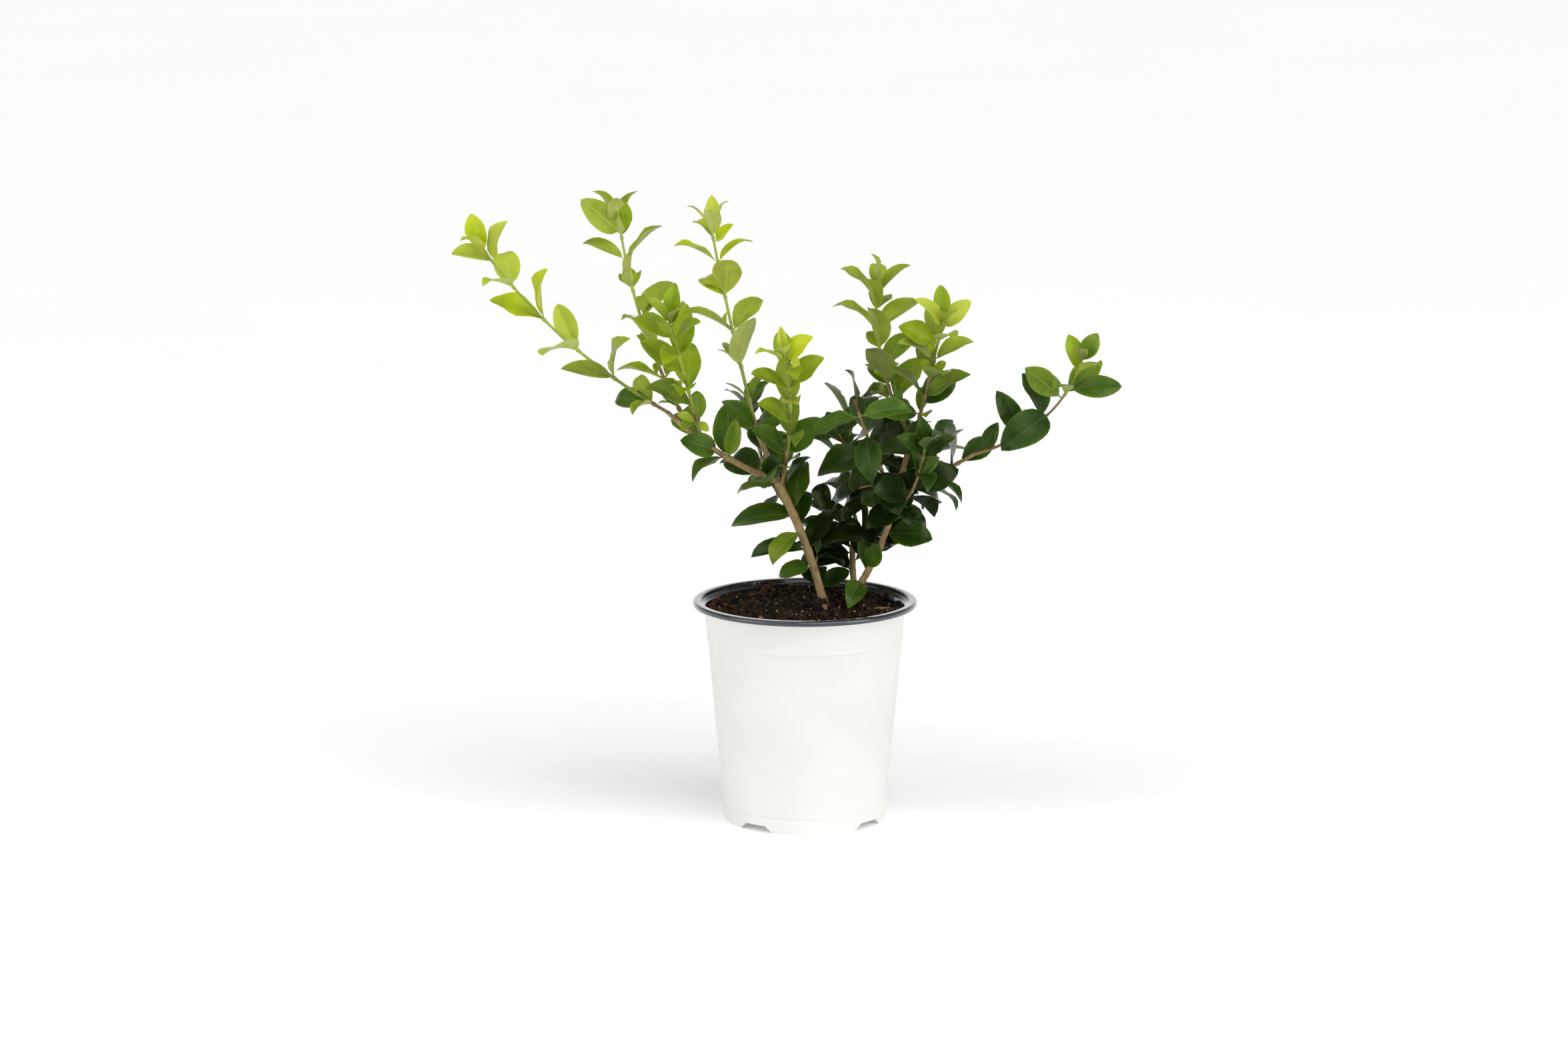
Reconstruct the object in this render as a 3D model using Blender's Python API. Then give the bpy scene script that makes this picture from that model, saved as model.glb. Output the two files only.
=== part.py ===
# A young privet in a one-quart nursery pot, built in metres with +Z up.
# The origin is the middle of the pot's underside, at the level it stands on. The front is -Y.

import math
import random

import bmesh
import bpy
from mathutils import Matrix, Quaternion, Vector
from mathutils.bvhtree import BVHTree

for old in list(bpy.data.objects):
    bpy.data.objects.remove(old, do_unlink=True)

# Driving dimensions, in millimetres and degrees. metres() and place() turn them into metres.
GAP = 0.3
LEAF_CLEARANCE = 0.35
SEAT_REACH = 14.0
SEAT_STEP = 0.05
SEAT_SIDES = 6
TURN_SIDES = 40
WELD = 0.01

POT_HEIGHT = 119.6
FOOT_RADIUS = 43.3
WALL_SLOPE = 0.0912
WALL = 1.2
FLOOR_HEIGHT = 4.2
FLOOR_CORNER = 1.0
FOOT_WIDTH = 3.0
FOOT_DRAFT = 1.0
PAD_RADIUS = 8.0
RIM_RADIUS = 60.3
RIM_WIDTH = 4.4
RIM_DROP = 2.8
RIM_ROUND = 0.6
COLLAR_HEIGHT = 112.2
COLLAR_STAND = 0.7
BEAD_HEIGHT = 99.8
BEAD_STAND = 0.6
BEAD_BELOW = 0.6
BEAD_ABOVE = 1.4
GROOVE_HEIGHT = 8.2
GROOVE_DEPTH = 0.5
GROOVE_HALF = 1.0
FOOT_COUNT = 4
NOTCH_TURN = 52.0
NOTCH_HEIGHT = 3.7
NOTCH_HALF_BOTTOM = 10.9
NOTCH_HALF_TOP = 6.4
NOTCH_REACH = 10.0
DRAIN_RADIUS = 4.0
DRAIN_PLACE = 31.0
DRAIN_SIDES = 10
POT_SHARP = 30

SOIL_EDGE = 112.9
SOIL_MOUND = 2.0
SOIL_CLEAR = 0.4
SOIL_CHAMFER = 1.0
SOIL_RINGS = (0.97, 0.7, 0.35, 0)

# A leaf is a keeled blade: LEAF_WIDTH is its greatest width over its length, which it has at the
# first of LEAF_PLACES. At the second it has narrowed by LEAF_TAPER.
LEAF_WIDTH = 0.5
LEAF_KEEL = 0.9
LEAF_PLACES = (0.3, 0.66)
LEAF_TAPER = 0.86
KEEL_TAPER = 0.8
LEAF_ARCH = (12, 34)
PETIOLE_HALF = 0.7
PETIOLE_LENGTH = 2.5
TWIG_SIDES = 3
TWIG_RINGS = 9
TWIG_TIP_RADIUS = 0.8
LIMB_SIDES = 7
STEM_RINGS = 9
BOUGH_RINGS = 7
LIMB_SHARP = 60

# Every stem and bough: foot or start, tip, how far its middle bows out, and its two radii.
# A stem stands on the soil, and a bough starts inside its parent and is cut off clear of it.
STEMS = {
    "left_stem": dict(start=(10, 14), tip=(-15, 10, 182), bow=(2, 0, 1), radii=(2.7, 2.1)),
    "right_stem": dict(start=(24, 19), tip=(50, 16, 175), bow=(3, 0, -1), radii=(2.8, 2.1)),
    "back_stem": dict(start=(28, 35), tip=(28, 50, 153), bow=(-2, 0, 0), radii=(2.4, 1.7)),
}
BOUGHS = {
    "left_limb": dict(start=(-15, 10, 182), tip=(-73, -5, 222), bow=(-2, 0, -3), radii=(1.9, 1.3)),
    "centre_left_limb": dict(start=(-14, 10, 181), tip=(-25, 22, 205), bow=(0, 0, 0), radii=(1.7, 1.4)),
    "centre_right_limb": dict(start=(50, 16, 175), tip=(60, 22, 208), bow=(-1, 0, 0), radii=(1.8, 1.4)),
    "right_limb": dict(start=(49, 16, 172), tip=(90, 2, 198), bow=(0, 0, 0), radii=(1.7, 1.4)),
}
ROOT_FLARE = 1.0
FLARE_SHARE = 0.12
FLARE_CROWDING = 1.5

# Every leafy shoot: start inside its bough, tip, bow, radius at its foot, the gap between its pairs
# of leaves, the lengths of its tip leaves and of its grown ones, and how far its last pair is turned
# from left and right. A shoot whose tip was pruned has a bare end. shed lists the leaves that a
# shoot has lost, counted from its tip.
SHOOTS = {
    "far_left_shoot": dict(start=(-73, -5, 222), tip=(-168, -30, 312), bow=(-6, 0, -4), radius=1.3,
                           gap=25.0, leaves=(18, 29), roll=75, opened=42, hue="lime"),
    "left_back_shoot": dict(start=(-62, -2, 214), tip=(-100, 60, 313), bow=(-5, 0, -2), radius=1.3,
                            gap=18.5, leaves=(24, 27), roll=0, opened=44, shed=(10,), hue="lime"),
    "left_front_shoot": dict(start=(-56, 0, 210), tip=(-71, -42, 276), bow=(0, 0, 0), radius=1.2,
                             gap=12.0, leaves=(19, 25), roll=165, opened=44, shed=(10, 13), hue="lime"),
    "centre_left_shoot": dict(start=(-25, 22, 205), tip=(-51, 70, 312), bow=(-1, 0, 0), radius=1.3,
                              gap=20.0, leaves=(18, 27), roll=15, opened=42, hue="lime"),
    "inner_left_shoot": dict(start=(-13, 10, 179), tip=(-11, -34, 257), bow=(4, 0, 0), radius=1.4,
                             gap=11.0, leaves=(15, 24), roll=105, opened=44, shed=(12,), hue="lime"),
    "crown_right_shoot": dict(start=(60, 22, 208), tip=(73, -6, 271), bow=(0, 0, 0), radius=1.3,
                              gap=12.0, leaves=(18, 25), roll=105, opened=44, hue="lime"),
    "tall_right_shoot": dict(start=(58, 21, 202), tip=(39, 64, 278), bow=(-6, 0, -2), radius=1.3,
                             gap=11.0, leaves=(20, 28), roll=90, opened=44, shed=(11, 16), hue="lime"),
    "front_right_shoot": dict(start=(48, 16, 172), tip=(26, -30, 232), bow=(-1, 0, 0), radius=1.4,
                              gap=14.5, leaves=(25, 31), roll=0, opened=90, hue="leaf", bare=11),
    "far_right_shoot": dict(start=(90, 2, 198), tip=(145, -30, 253), bow=(8, 0, -6), radius=1.3,
                            gap=21.0, leaves=(15, 28), roll=45, opened=65, shed=(7,), hue="leaf"),
    "back_centre_shoot": dict(start=(28, 50, 153), tip=(28, 86, 210), bow=(-4, 5, -2), radius=1.4,
                              gap=11.5, leaves=(21, 31), roll=45, shed=(1, 3), hue="deep"),
    "back_left_shoot": dict(start=(-9, 11, 168), tip=(-30, 88, 208), bow=(-2, 4, -6), radius=1.3,
                            gap=18.0, leaves=(20, 28), roll=0, opened=46, hue="deep"),
    "back_right_shoot": dict(start=(45, 17, 163), tip=(72, 86, 188), bow=(2, 2, -6), radius=1.3,
                             gap=17.5, leaves=(20, 28), roll=120, hue="deep"),
    "low_right_shoot": dict(start=(46, 17, 165), tip=(63, -28, 206), bow=(2, -2, -6), radius=1.3,
                            gap=15.5, leaves=(19, 24), roll=105, opened=68, hue="deep"),
}
# A shoot's lowest pair, which grew first, is smaller.
HIGHEST_PAIR = 1.0
LOWEST_PAIR = 3.0
YOUNG_GAPS = (0.3, 0.7)
YOUNG_PAIRS = 3
YOUNG_SPREADS = (26, 38, 48)
GROWN_SPREAD = 56
LOWEST_SHARE = 0.62

# Single leaves that stand on the stems and boughs themselves: how far up the limb as a share of it,
# how far turned about it from the right, how far opened from its heading, and the length.
SPRIGS = {
    "left_stem": dict(hue="deep", leaves=[
        (0.12, 100, 75, 24), (0.28, 172, 88, 18), (0.42, 168, 80, 30), (0.40, 40, 60, 26),
        (0.58, 215, 105, 23), (0.60, 80, 60, 28), (0.70, 165, 75, 33), (0.72, 40, 36, 28),
        (0.97, 172, 72, 22)]),
    "left_limb": dict(hue="leaf", leaves=[
        (0.10, 300, 75, 26), (0.14, 120, 60, 27), (0.40, 40, 60, 28), (0.44, 225, 52, 23),
        (0.68, 100, 60, 26)]),
    "centre_left_limb": dict(hue="leaf", leaves=[(0.60, 70, 26, 25)]),
    "right_stem": dict(hue="deep", leaves=[
        (0.20, 262, 122, 22), (0.26, 150, 30, 21), (0.30, 105, 68, 28), (0.52, 40, 52, 28),
        (0.56, 200, 98, 29), (0.70, 95, 60, 29), (0.76, 60, 28, 21), (0.84, 172, 76, 27)]),
    "centre_right_limb": dict(hue="deep", leaves=[
        (0.30, 40, 64, 28), (0.34, 220, 64, 28), (0.72, 130, 64, 27), (0.76, 310, 64, 26)]),
    "right_limb": dict(hue="deep", leaves=[
        (0.30, 90, 70, 28), (0.33, 235, 26, 24), (0.70, 175, 62, 29), (0.80, 60, 26, 22)]),
    "back_stem": dict(hue="deep", leaves=[
        (0.34, 165, 60, 33), (0.46, 20, 66, 28), (0.62, 160, 58, 36), (0.66, 85, 60, 30),
        (0.88, 170, 60, 31)]),
}

# Leaves vary a little, lift their tips towards the light, and turn their upper sides to it.
ROLL_VARIES = 12
SPREAD_VARIES = 7
SIZE_VARIES = (0.88, 1.1)
LIGHT = Vector((0, -0.85, 1)).normalized()
LEAF_LIFT = 0.22
LEAF_FACING = 1.5
LEAF_TWIST = 34

COLOURS = {
    "lime": (0.36, 0.50, 0.06),
    "leaf": (0.14, 0.27, 0.04),
    "deep": (0.04, 0.12, 0.02),
    "bark": (0.42, 0.31, 0.18),
    "pot": (0.86, 0.88, 0.85),
    "soil": (0.06, 0.04, 0.03),
}
ROUGHNESS = {"lime": 0.45, "leaf": 0.4, "deep": 0.35, "bark": 0.8, "pot": 0.4, "soil": 0.95}


def metres(size):
    """A size given in millimetres, in metres."""
    return size * 0.001


def place(x, y, z):
    """A place given in millimetres, as a vector in metres."""
    return Vector((x, y, z)) * 0.001


def material(name):
    """The part's own plain finish, made once for each colour."""
    if name in bpy.data.materials:
        return bpy.data.materials[name]
    made = bpy.data.materials.new(name)
    made.use_nodes = True
    shader = made.node_tree.nodes["Principled BSDF"]
    shader.inputs["Base Color"].default_value = (*COLOURS[name], 1.0)
    shader.inputs["Roughness"].default_value = ROUGHNESS[name]
    shader.inputs["Metallic"].default_value = 0.0
    return made


def add_object(name, mesh, finish=None):
    """A named object at the origin, with its place in its mesh."""
    made = bpy.data.objects.new(name, mesh)
    bpy.context.scene.collection.objects.link(made)
    if finish:
        mesh.materials.clear()
        mesh.materials.append(material(finish))
    return made


def mesh_of(name, points, faces):
    """A closed mesh with its faces turned outwards."""
    shape = bmesh.new()
    corners = [shape.verts.new(point) for point in points]
    for face in faces:
        shape.faces.new([corners[i] for i in face])
    bmesh.ops.recalc_face_normals(shape, faces=shape.faces)
    mesh = bpy.data.meshes.new(name)
    shape.to_mesh(mesh)
    shape.free()
    return mesh


# Pot and soil

def wall_radius(height):
    """Outer radius of the pot's tapered wall."""
    return FOOT_RADIUS + WALL_SLOPE * height


def turned(name, profile):
    """A solid turned about the pot's axis from a profile of radii and heights."""
    shape = bmesh.new()
    line = [shape.verts.new(place(radius, 0, height)) for radius, height in profile]
    edges = [shape.edges.new(pair) for pair in zip(line, line[1:])]
    bmesh.ops.spin(shape, geom=line + edges, cent=(0, 0, 0), axis=(0, 0, 1), dvec=(0, 0, 0),
                   angle=math.tau, steps=TURN_SIDES, use_merge=True)
    bmesh.ops.remove_doubles(shape, verts=shape.verts, dist=metres(WELD))
    bmesh.ops.recalc_face_normals(shape, faces=shape.faces)
    mesh = bpy.data.meshes.new(name)
    shape.to_mesh(mesh)
    shape.free()
    return mesh


def pot_profile():
    """From the pad's middle out under the floor, up the outside, over the rim and down inside."""
    rim_under = POT_HEIGHT - RIM_DROP
    rim_inner = RIM_RADIUS - RIM_WIDTH
    floor_top = FLOOR_HEIGHT + WALL
    outside = [
        (0, 0),
        (PAD_RADIUS, 0),
        (PAD_RADIUS + FOOT_DRAFT, FLOOR_HEIGHT),
        (FOOT_RADIUS - FOOT_WIDTH - FOOT_DRAFT, FLOOR_HEIGHT),
        (FOOT_RADIUS - FOOT_WIDTH, 0),
        (FOOT_RADIUS, 0),
        (wall_radius(GROOVE_HEIGHT - GROOVE_HALF), GROOVE_HEIGHT - GROOVE_HALF),
        (wall_radius(GROOVE_HEIGHT) - GROOVE_DEPTH, GROOVE_HEIGHT),
        (wall_radius(GROOVE_HEIGHT + GROOVE_HALF), GROOVE_HEIGHT + GROOVE_HALF),
        (wall_radius(BEAD_HEIGHT - BEAD_BELOW), BEAD_HEIGHT - BEAD_BELOW),
        (wall_radius(BEAD_HEIGHT) + BEAD_STAND, BEAD_HEIGHT),
        (wall_radius(BEAD_HEIGHT + BEAD_ABOVE), BEAD_HEIGHT + BEAD_ABOVE),
        (wall_radius(COLLAR_HEIGHT), COLLAR_HEIGHT),
        (wall_radius(COLLAR_HEIGHT) + COLLAR_STAND, COLLAR_HEIGHT + COLLAR_STAND),
        (wall_radius(rim_under) + COLLAR_STAND, rim_under),
    ]
    rim = [
        (RIM_RADIUS - RIM_ROUND, rim_under),
        (RIM_RADIUS, rim_under + RIM_ROUND),
        (RIM_RADIUS, POT_HEIGHT - RIM_ROUND),
        (RIM_RADIUS - RIM_ROUND, POT_HEIGHT),
        (rim_inner + RIM_ROUND, POT_HEIGHT),
        (rim_inner, POT_HEIGHT - RIM_ROUND),
    ]
    inside = [
        (wall_radius(rim_under) - WALL + COLLAR_STAND, rim_under),
        (wall_radius(COLLAR_HEIGHT) - WALL, COLLAR_HEIGHT),
        (wall_radius(floor_top) - WALL, floor_top + FLOOR_CORNER),
        (wall_radius(floor_top) - WALL - FLOOR_CORNER, floor_top),
        (0, floor_top),
    ]
    return outside + rim + inside


def notch_cutter():
    """Four wedge-sided blocks that part the foot ring into feet."""
    points = []
    faces = []
    bottom_half = NOTCH_HALF_BOTTOM + (NOTCH_HALF_BOTTOM - NOTCH_HALF_TOP) / NOTCH_HEIGHT
    section = [(-bottom_half, -1), (bottom_half, -1), (NOTCH_HALF_TOP, NOTCH_HEIGHT),
               (-NOTCH_HALF_TOP, NOTCH_HEIGHT)]
    for index in range(FOOT_COUNT):
        turn = Matrix.Rotation(math.radians(NOTCH_TURN + index * 360 / FOOT_COUNT), 3, "Z")
        first = len(points)
        for reach in (FOOT_RADIUS - NOTCH_REACH, FOOT_RADIUS + NOTCH_REACH):
            points += [turn @ place(across, -reach, height) for across, height in section]
        faces += [[first + i for i in face] for face in
                  ((0, 1, 2, 3), (7, 6, 5, 4), (0, 4, 5, 1), (1, 5, 6, 2), (2, 6, 7, 3), (3, 7, 4, 0))]
    return mesh_of("notches", points, faces)


def drain_cutter():
    """Four round plugs that open the drain holes in the floor."""
    shape = bmesh.new()
    for index in range(FOOT_COUNT):
        turn = Matrix.Rotation(math.radians(NOTCH_TURN + index * 360 / FOOT_COUNT), 4, "Z")
        middle = Matrix.Translation(place(0, -DRAIN_PLACE, FLOOR_HEIGHT + WALL / 2))
        bmesh.ops.create_cone(shape, cap_ends=True, segments=DRAIN_SIDES, radius1=metres(DRAIN_RADIUS),
                              radius2=metres(DRAIN_RADIUS), depth=metres(4 * WALL), matrix=turn @ middle)
    mesh = bpy.data.meshes.new("drains")
    shape.to_mesh(mesh)
    shape.free()
    return mesh


def cut(target, cutter_mesh):
    """Takes a cutter's shape out of an object."""
    cutter = add_object(target.name + "_" + cutter_mesh.name, cutter_mesh)
    cutter.hide_render = True
    cutter.display_type = "WIRE"
    knife = target.modifiers.new(cutter_mesh.name, "BOOLEAN")
    knife.operation = "DIFFERENCE"
    knife.solver = "EXACT"
    knife.object = cutter


def make_pot():
    """The pot: tapered wall, rolled rim, raised floor on four feet and a middle pad."""
    mesh = turned("pot", pot_profile())
    mesh.shade_smooth()
    mesh.set_sharp_from_angle(angle=math.radians(POT_SHARP))
    pot = add_object("pot", mesh, "pot")
    cut(pot, notch_cutter())
    cut(pot, drain_cutter())


def soil_height(x, y):
    """Height of the soil's top, which rises a little towards the stems."""
    edge = wall_radius(SOIL_EDGE) - WALL
    return SOIL_EDGE + SOIL_MOUND * (1 - min(1.0, math.hypot(x, y) / edge) ** 2)


def make_soil():
    """The root ball that fills the pot, with a flat floor and a low mound on top."""
    low = FLOOR_HEIGHT + WALL + GAP
    top_radius = wall_radius(SOIL_EDGE - SOIL_CHAMFER) - WALL - SOIL_CLEAR
    profile = [
        (0, low),
        (wall_radius(low) - WALL - SOIL_CLEAR - SOIL_CHAMFER, low),
        (wall_radius(low) - WALL - SOIL_CLEAR, low + SOIL_CHAMFER),
        (top_radius, SOIL_EDGE - SOIL_CHAMFER),
    ]
    profile += [(top_radius * share, soil_height(top_radius * share, 0)) for share in SOIL_RINGS]
    mesh = turned("soil", profile)
    mesh.shade_smooth()
    add_object("soil", mesh, "soil")
    return tree_of(mesh)


# Limbs

class Limb:
    """A round member that bows between two points and tapers."""

    def __init__(self, start, tip, bow, radii, flare=0.0):
        self.start = place(*start)
        self.tip = place(*tip)
        self.bow = place(*bow)
        self.radii = [metres(radius) for radius in radii]
        self.flare = metres(flare)
        self.first = 0.0

    def point(self, t):
        return self.start.lerp(self.tip, t) + self.bow * (4 * t * (1 - t))

    def heading(self, t):
        return (self.tip - self.start + self.bow * (4 - 8 * t)).normalized()

    def radius(self, t):
        """The taper, with the root flare added near the foot."""
        low = max(0.0, 1 - t / FLARE_SHARE)
        return self.radii[0] + (self.radii[1] - self.radii[0]) * t + self.flare * low * low

    def length(self):
        return sum((self.point((i + 1) / 12) - self.point(i / 12)).length for i in range(12))

    def across(self, t):
        """The direction square to the limb that lies nearest to +X."""
        heading = self.heading(t)
        return (Vector((1, 0, 0)) - heading * heading.x).normalized()


def ring_frame(limb, t):
    """Where the limb's section lies, with its two directions."""
    side = limb.across(t)
    return limb.point(t), side, limb.heading(t).cross(side)


def tube(limb, sides, rings, extra=0.0):
    """Points and faces of the limb's skin, closed with flat ends."""
    points = []
    faces = [list(range(sides))]
    for index in range(rings):
        share = index / (rings - 1)
        t = limb.first + (1 - limb.first) * (share ** FLARE_CROWDING if limb.flare else share)
        middle, side, back = ring_frame(limb, t)
        radius = limb.radius(t) + extra
        for corner in range(sides):
            angle = math.tau * corner / sides
            points.append(middle + (side * math.cos(angle) + back * math.sin(angle)) * radius)
        if index:
            low = (index - 1) * sides
            faces += [[low + i, low + (i + 1) % sides, low + sides + (i + 1) % sides, low + sides + i]
                      for i in range(sides)]
    faces.append([len(points) - sides + i for i in range(sides)])
    return points, faces


def tree_of(mesh):
    """A search tree over a mesh, to keep pieces apart."""
    return BVHTree.FromPolygons([v.co for v in mesh.vertices], [list(p.vertices) for p in mesh.polygons])


def seat(trees, middle, heading, side, radius):
    """How far along a heading, in metres, a flat end of this radius stands clear of what is there.
    It comes in from outside, so that it stops at the first thing it meets."""
    back = heading.cross(side)
    turns = [math.tau * index / SEAT_SIDES for index in range(SEAT_SIDES)]
    rim = [(side * math.cos(turn) + back * math.sin(turn)) * radius for turn in turns] + [Vector()]
    step = metres(SEAT_STEP)
    gap = metres(GAP)
    for index in range(int(SEAT_REACH / SEAT_STEP), 0, -1):
        spot = middle + heading * (index * step)
        for tree in trees:
            for offset in rim:
                if tree.find_nearest(spot + offset, gap)[0] is not None:
                    return (index + 1) * step
    return 0.0


def seat_limb(limb, trees):
    """Cuts off the start of a limb that lies inside its parent."""
    away = seat(trees, limb.point(0), limb.heading(0.03), limb.across(0), limb.radius(0))
    limb.first = away / limb.length()


# Leaves

LEAF_FACES = [[0, 1, 2]] + [
    [low + a, low + b, low + 3 + b, low + 3 + a] for low in (0, 3) for a, b in ((0, 1), (1, 2), (2, 0))
] + [[6, 7, 9], [7, 8, 9], [8, 6, 9]]


def leaf_points(root, heading, up, length, arch, start=0.0, extra=0.0):
    """A keeled blade: three corners at its foot, two fuller sections, and a tip. It arches from up."""
    across = heading.cross(up).normalized()
    keel = metres(LEAF_KEEL) + extra
    foot = metres(PETIOLE_HALF) + extra
    half = length * LEAF_WIDTH / 2 + extra
    wide_at, narrow_at = LEAF_PLACES
    steps = (start, metres(PETIOLE_LENGTH) + wide_at * length - start, (narrow_at - wide_at) * length)
    sections = ((foot, foot), (half, keel), (half * LEAF_TAPER, keel * KEEL_TAPER))
    bend = Quaternion(across, -arch / len(sections))
    spot = root.copy()
    along = heading.copy()
    above = up.copy()
    points = []
    for step, (wide, deep) in zip(steps, sections):
        spot = spot + along * step
        points += [spot - across * wide + above * extra, spot + across * wide + above * extra,
                   spot - above * deep]
        along.rotate(bend)
        above.rotate(bend)
    points.append(spot + along * ((1 - narrow_at) * length + extra))
    return points


def blocked(points, trees):
    """Whether a leaf touches anything that it must stay clear of."""
    skin = BVHTree.FromPolygons(points, LEAF_FACES)
    return any(skin.overlap(tree) for tree in trees)


def leaf_pose(limb, t, roll, spread, dice):
    """Heading and upper side of a leaf that leaves a limb at t, turned by roll about it."""
    heading = limb.heading(t)
    side = limb.across(t)
    out = side.copy()
    out.rotate(Quaternion(heading, roll))
    along = heading * math.cos(spread) + out * math.sin(spread)
    along = (along + LIGHT * LEAF_LIFT).normalized()
    above = heading - along * heading.dot(along)
    above.rotate(Quaternion(along, math.radians(dice.uniform(-LEAF_TWIST, LEAF_TWIST))))
    above = above.normalized() + LEAF_FACING * (LIGHT - along * LIGHT.dot(along))
    above = (above - along * above.dot(along)).normalized()
    return along, above


# A leaf that is in the way of another is first turned, closed up or made smaller, then left out.
TRIES = [(0, 0, 1.0), (14, 0, 1.0), (-14, 0, 1.0), (0, -12, 1.0), (0, 14, 1.0), (20, -10, 0.9),
         (-20, -10, 0.9), (28, 8, 0.85), (-28, 8, 0.85), (0, -22, 0.8), (12, -28, 0.7)]


def place_leaf(limb, t, roll, spread, length, dice, trees, start=0.0, parents=()):
    """Points of the first try that stays clear, or None. A leaf on a bough starts clear of it."""
    arch = math.radians(dice.uniform(*LEAF_ARCH))
    for turn, close, shrink in TRIES:
        along, above = leaf_pose(limb, t, roll + math.radians(turn), spread + math.radians(close), dice)
        root = limb.point(t)
        if parents:
            start = seat(parents, root, along, above, metres(PETIOLE_HALF + GAP / 2))
        size = metres(length * shrink)
        if not blocked(leaf_points(root, along, above, size, arch, start, metres(LEAF_CLEARANCE)), trees):
            return leaf_points(root, along, above, size, arch, start)
    return None


def pair_places(length, gap, bare):
    """Distances of the leaf pairs from a shoot's tip. The youngest gaps are still short."""
    places = [bare]
    for share in () if bare else YOUNG_GAPS:
        places.append(places[-1] + gap * share)
    while places[-1] + gap < length - LOWEST_PAIR:
        places.append(places[-1] + gap)
    return [distance for distance in places if distance < length - LOWEST_PAIR]


def fuse(name, pieces, finish):
    """One solid made of a twig and its leaves, with sealed hollows filled."""
    group = bpy.data.collections.new(name + "_pieces")
    bpy.context.scene.collection.children.link(group)
    meshes = [mesh_of(f"{name}_{index}", *piece) for index, piece in enumerate(pieces)]
    base = add_object(name + "_base", meshes[0])
    for mesh in meshes[1:]:
        group.objects.link(bpy.data.objects.new(mesh.name, mesh))
    if len(meshes) > 1:
        union = base.modifiers.new("union", "BOOLEAN")
        union.operation = "UNION"
        union.operand_type = "COLLECTION"
        union.collection = group
        union.solver = "MANIFOLD"
    bpy.context.view_layer.update()
    solid = bpy.data.meshes.new_from_object(base.evaluated_get(bpy.context.evaluated_depsgraph_get()))
    for piece in list(group.objects) + [base]:
        bpy.data.objects.remove(piece, do_unlink=True)
    bpy.data.collections.remove(group)
    keep_outer_shell(solid)
    solid.name = name
    add_object(name, solid, finish)


def keep_outer_shell(mesh):
    """Drops every shell of a mesh but its largest."""
    shape = bmesh.new()
    shape.from_mesh(mesh)
    left = set(shape.verts)
    shells = []
    while left:
        shell = {left.pop()}
        edge = list(shell)
        while edge:
            near = {e.other_vert(v) for v in edge for e in v.link_edges} & left
            left -= near
            shell |= near
            edge = list(near)
        shells.append(shell)
    shells.sort(key=len)
    for shell in shells[:-1]:
        bmesh.ops.delete(shape, geom=list(shell), context="VERTS")
    shape.to_mesh(mesh)
    shape.free()


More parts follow.
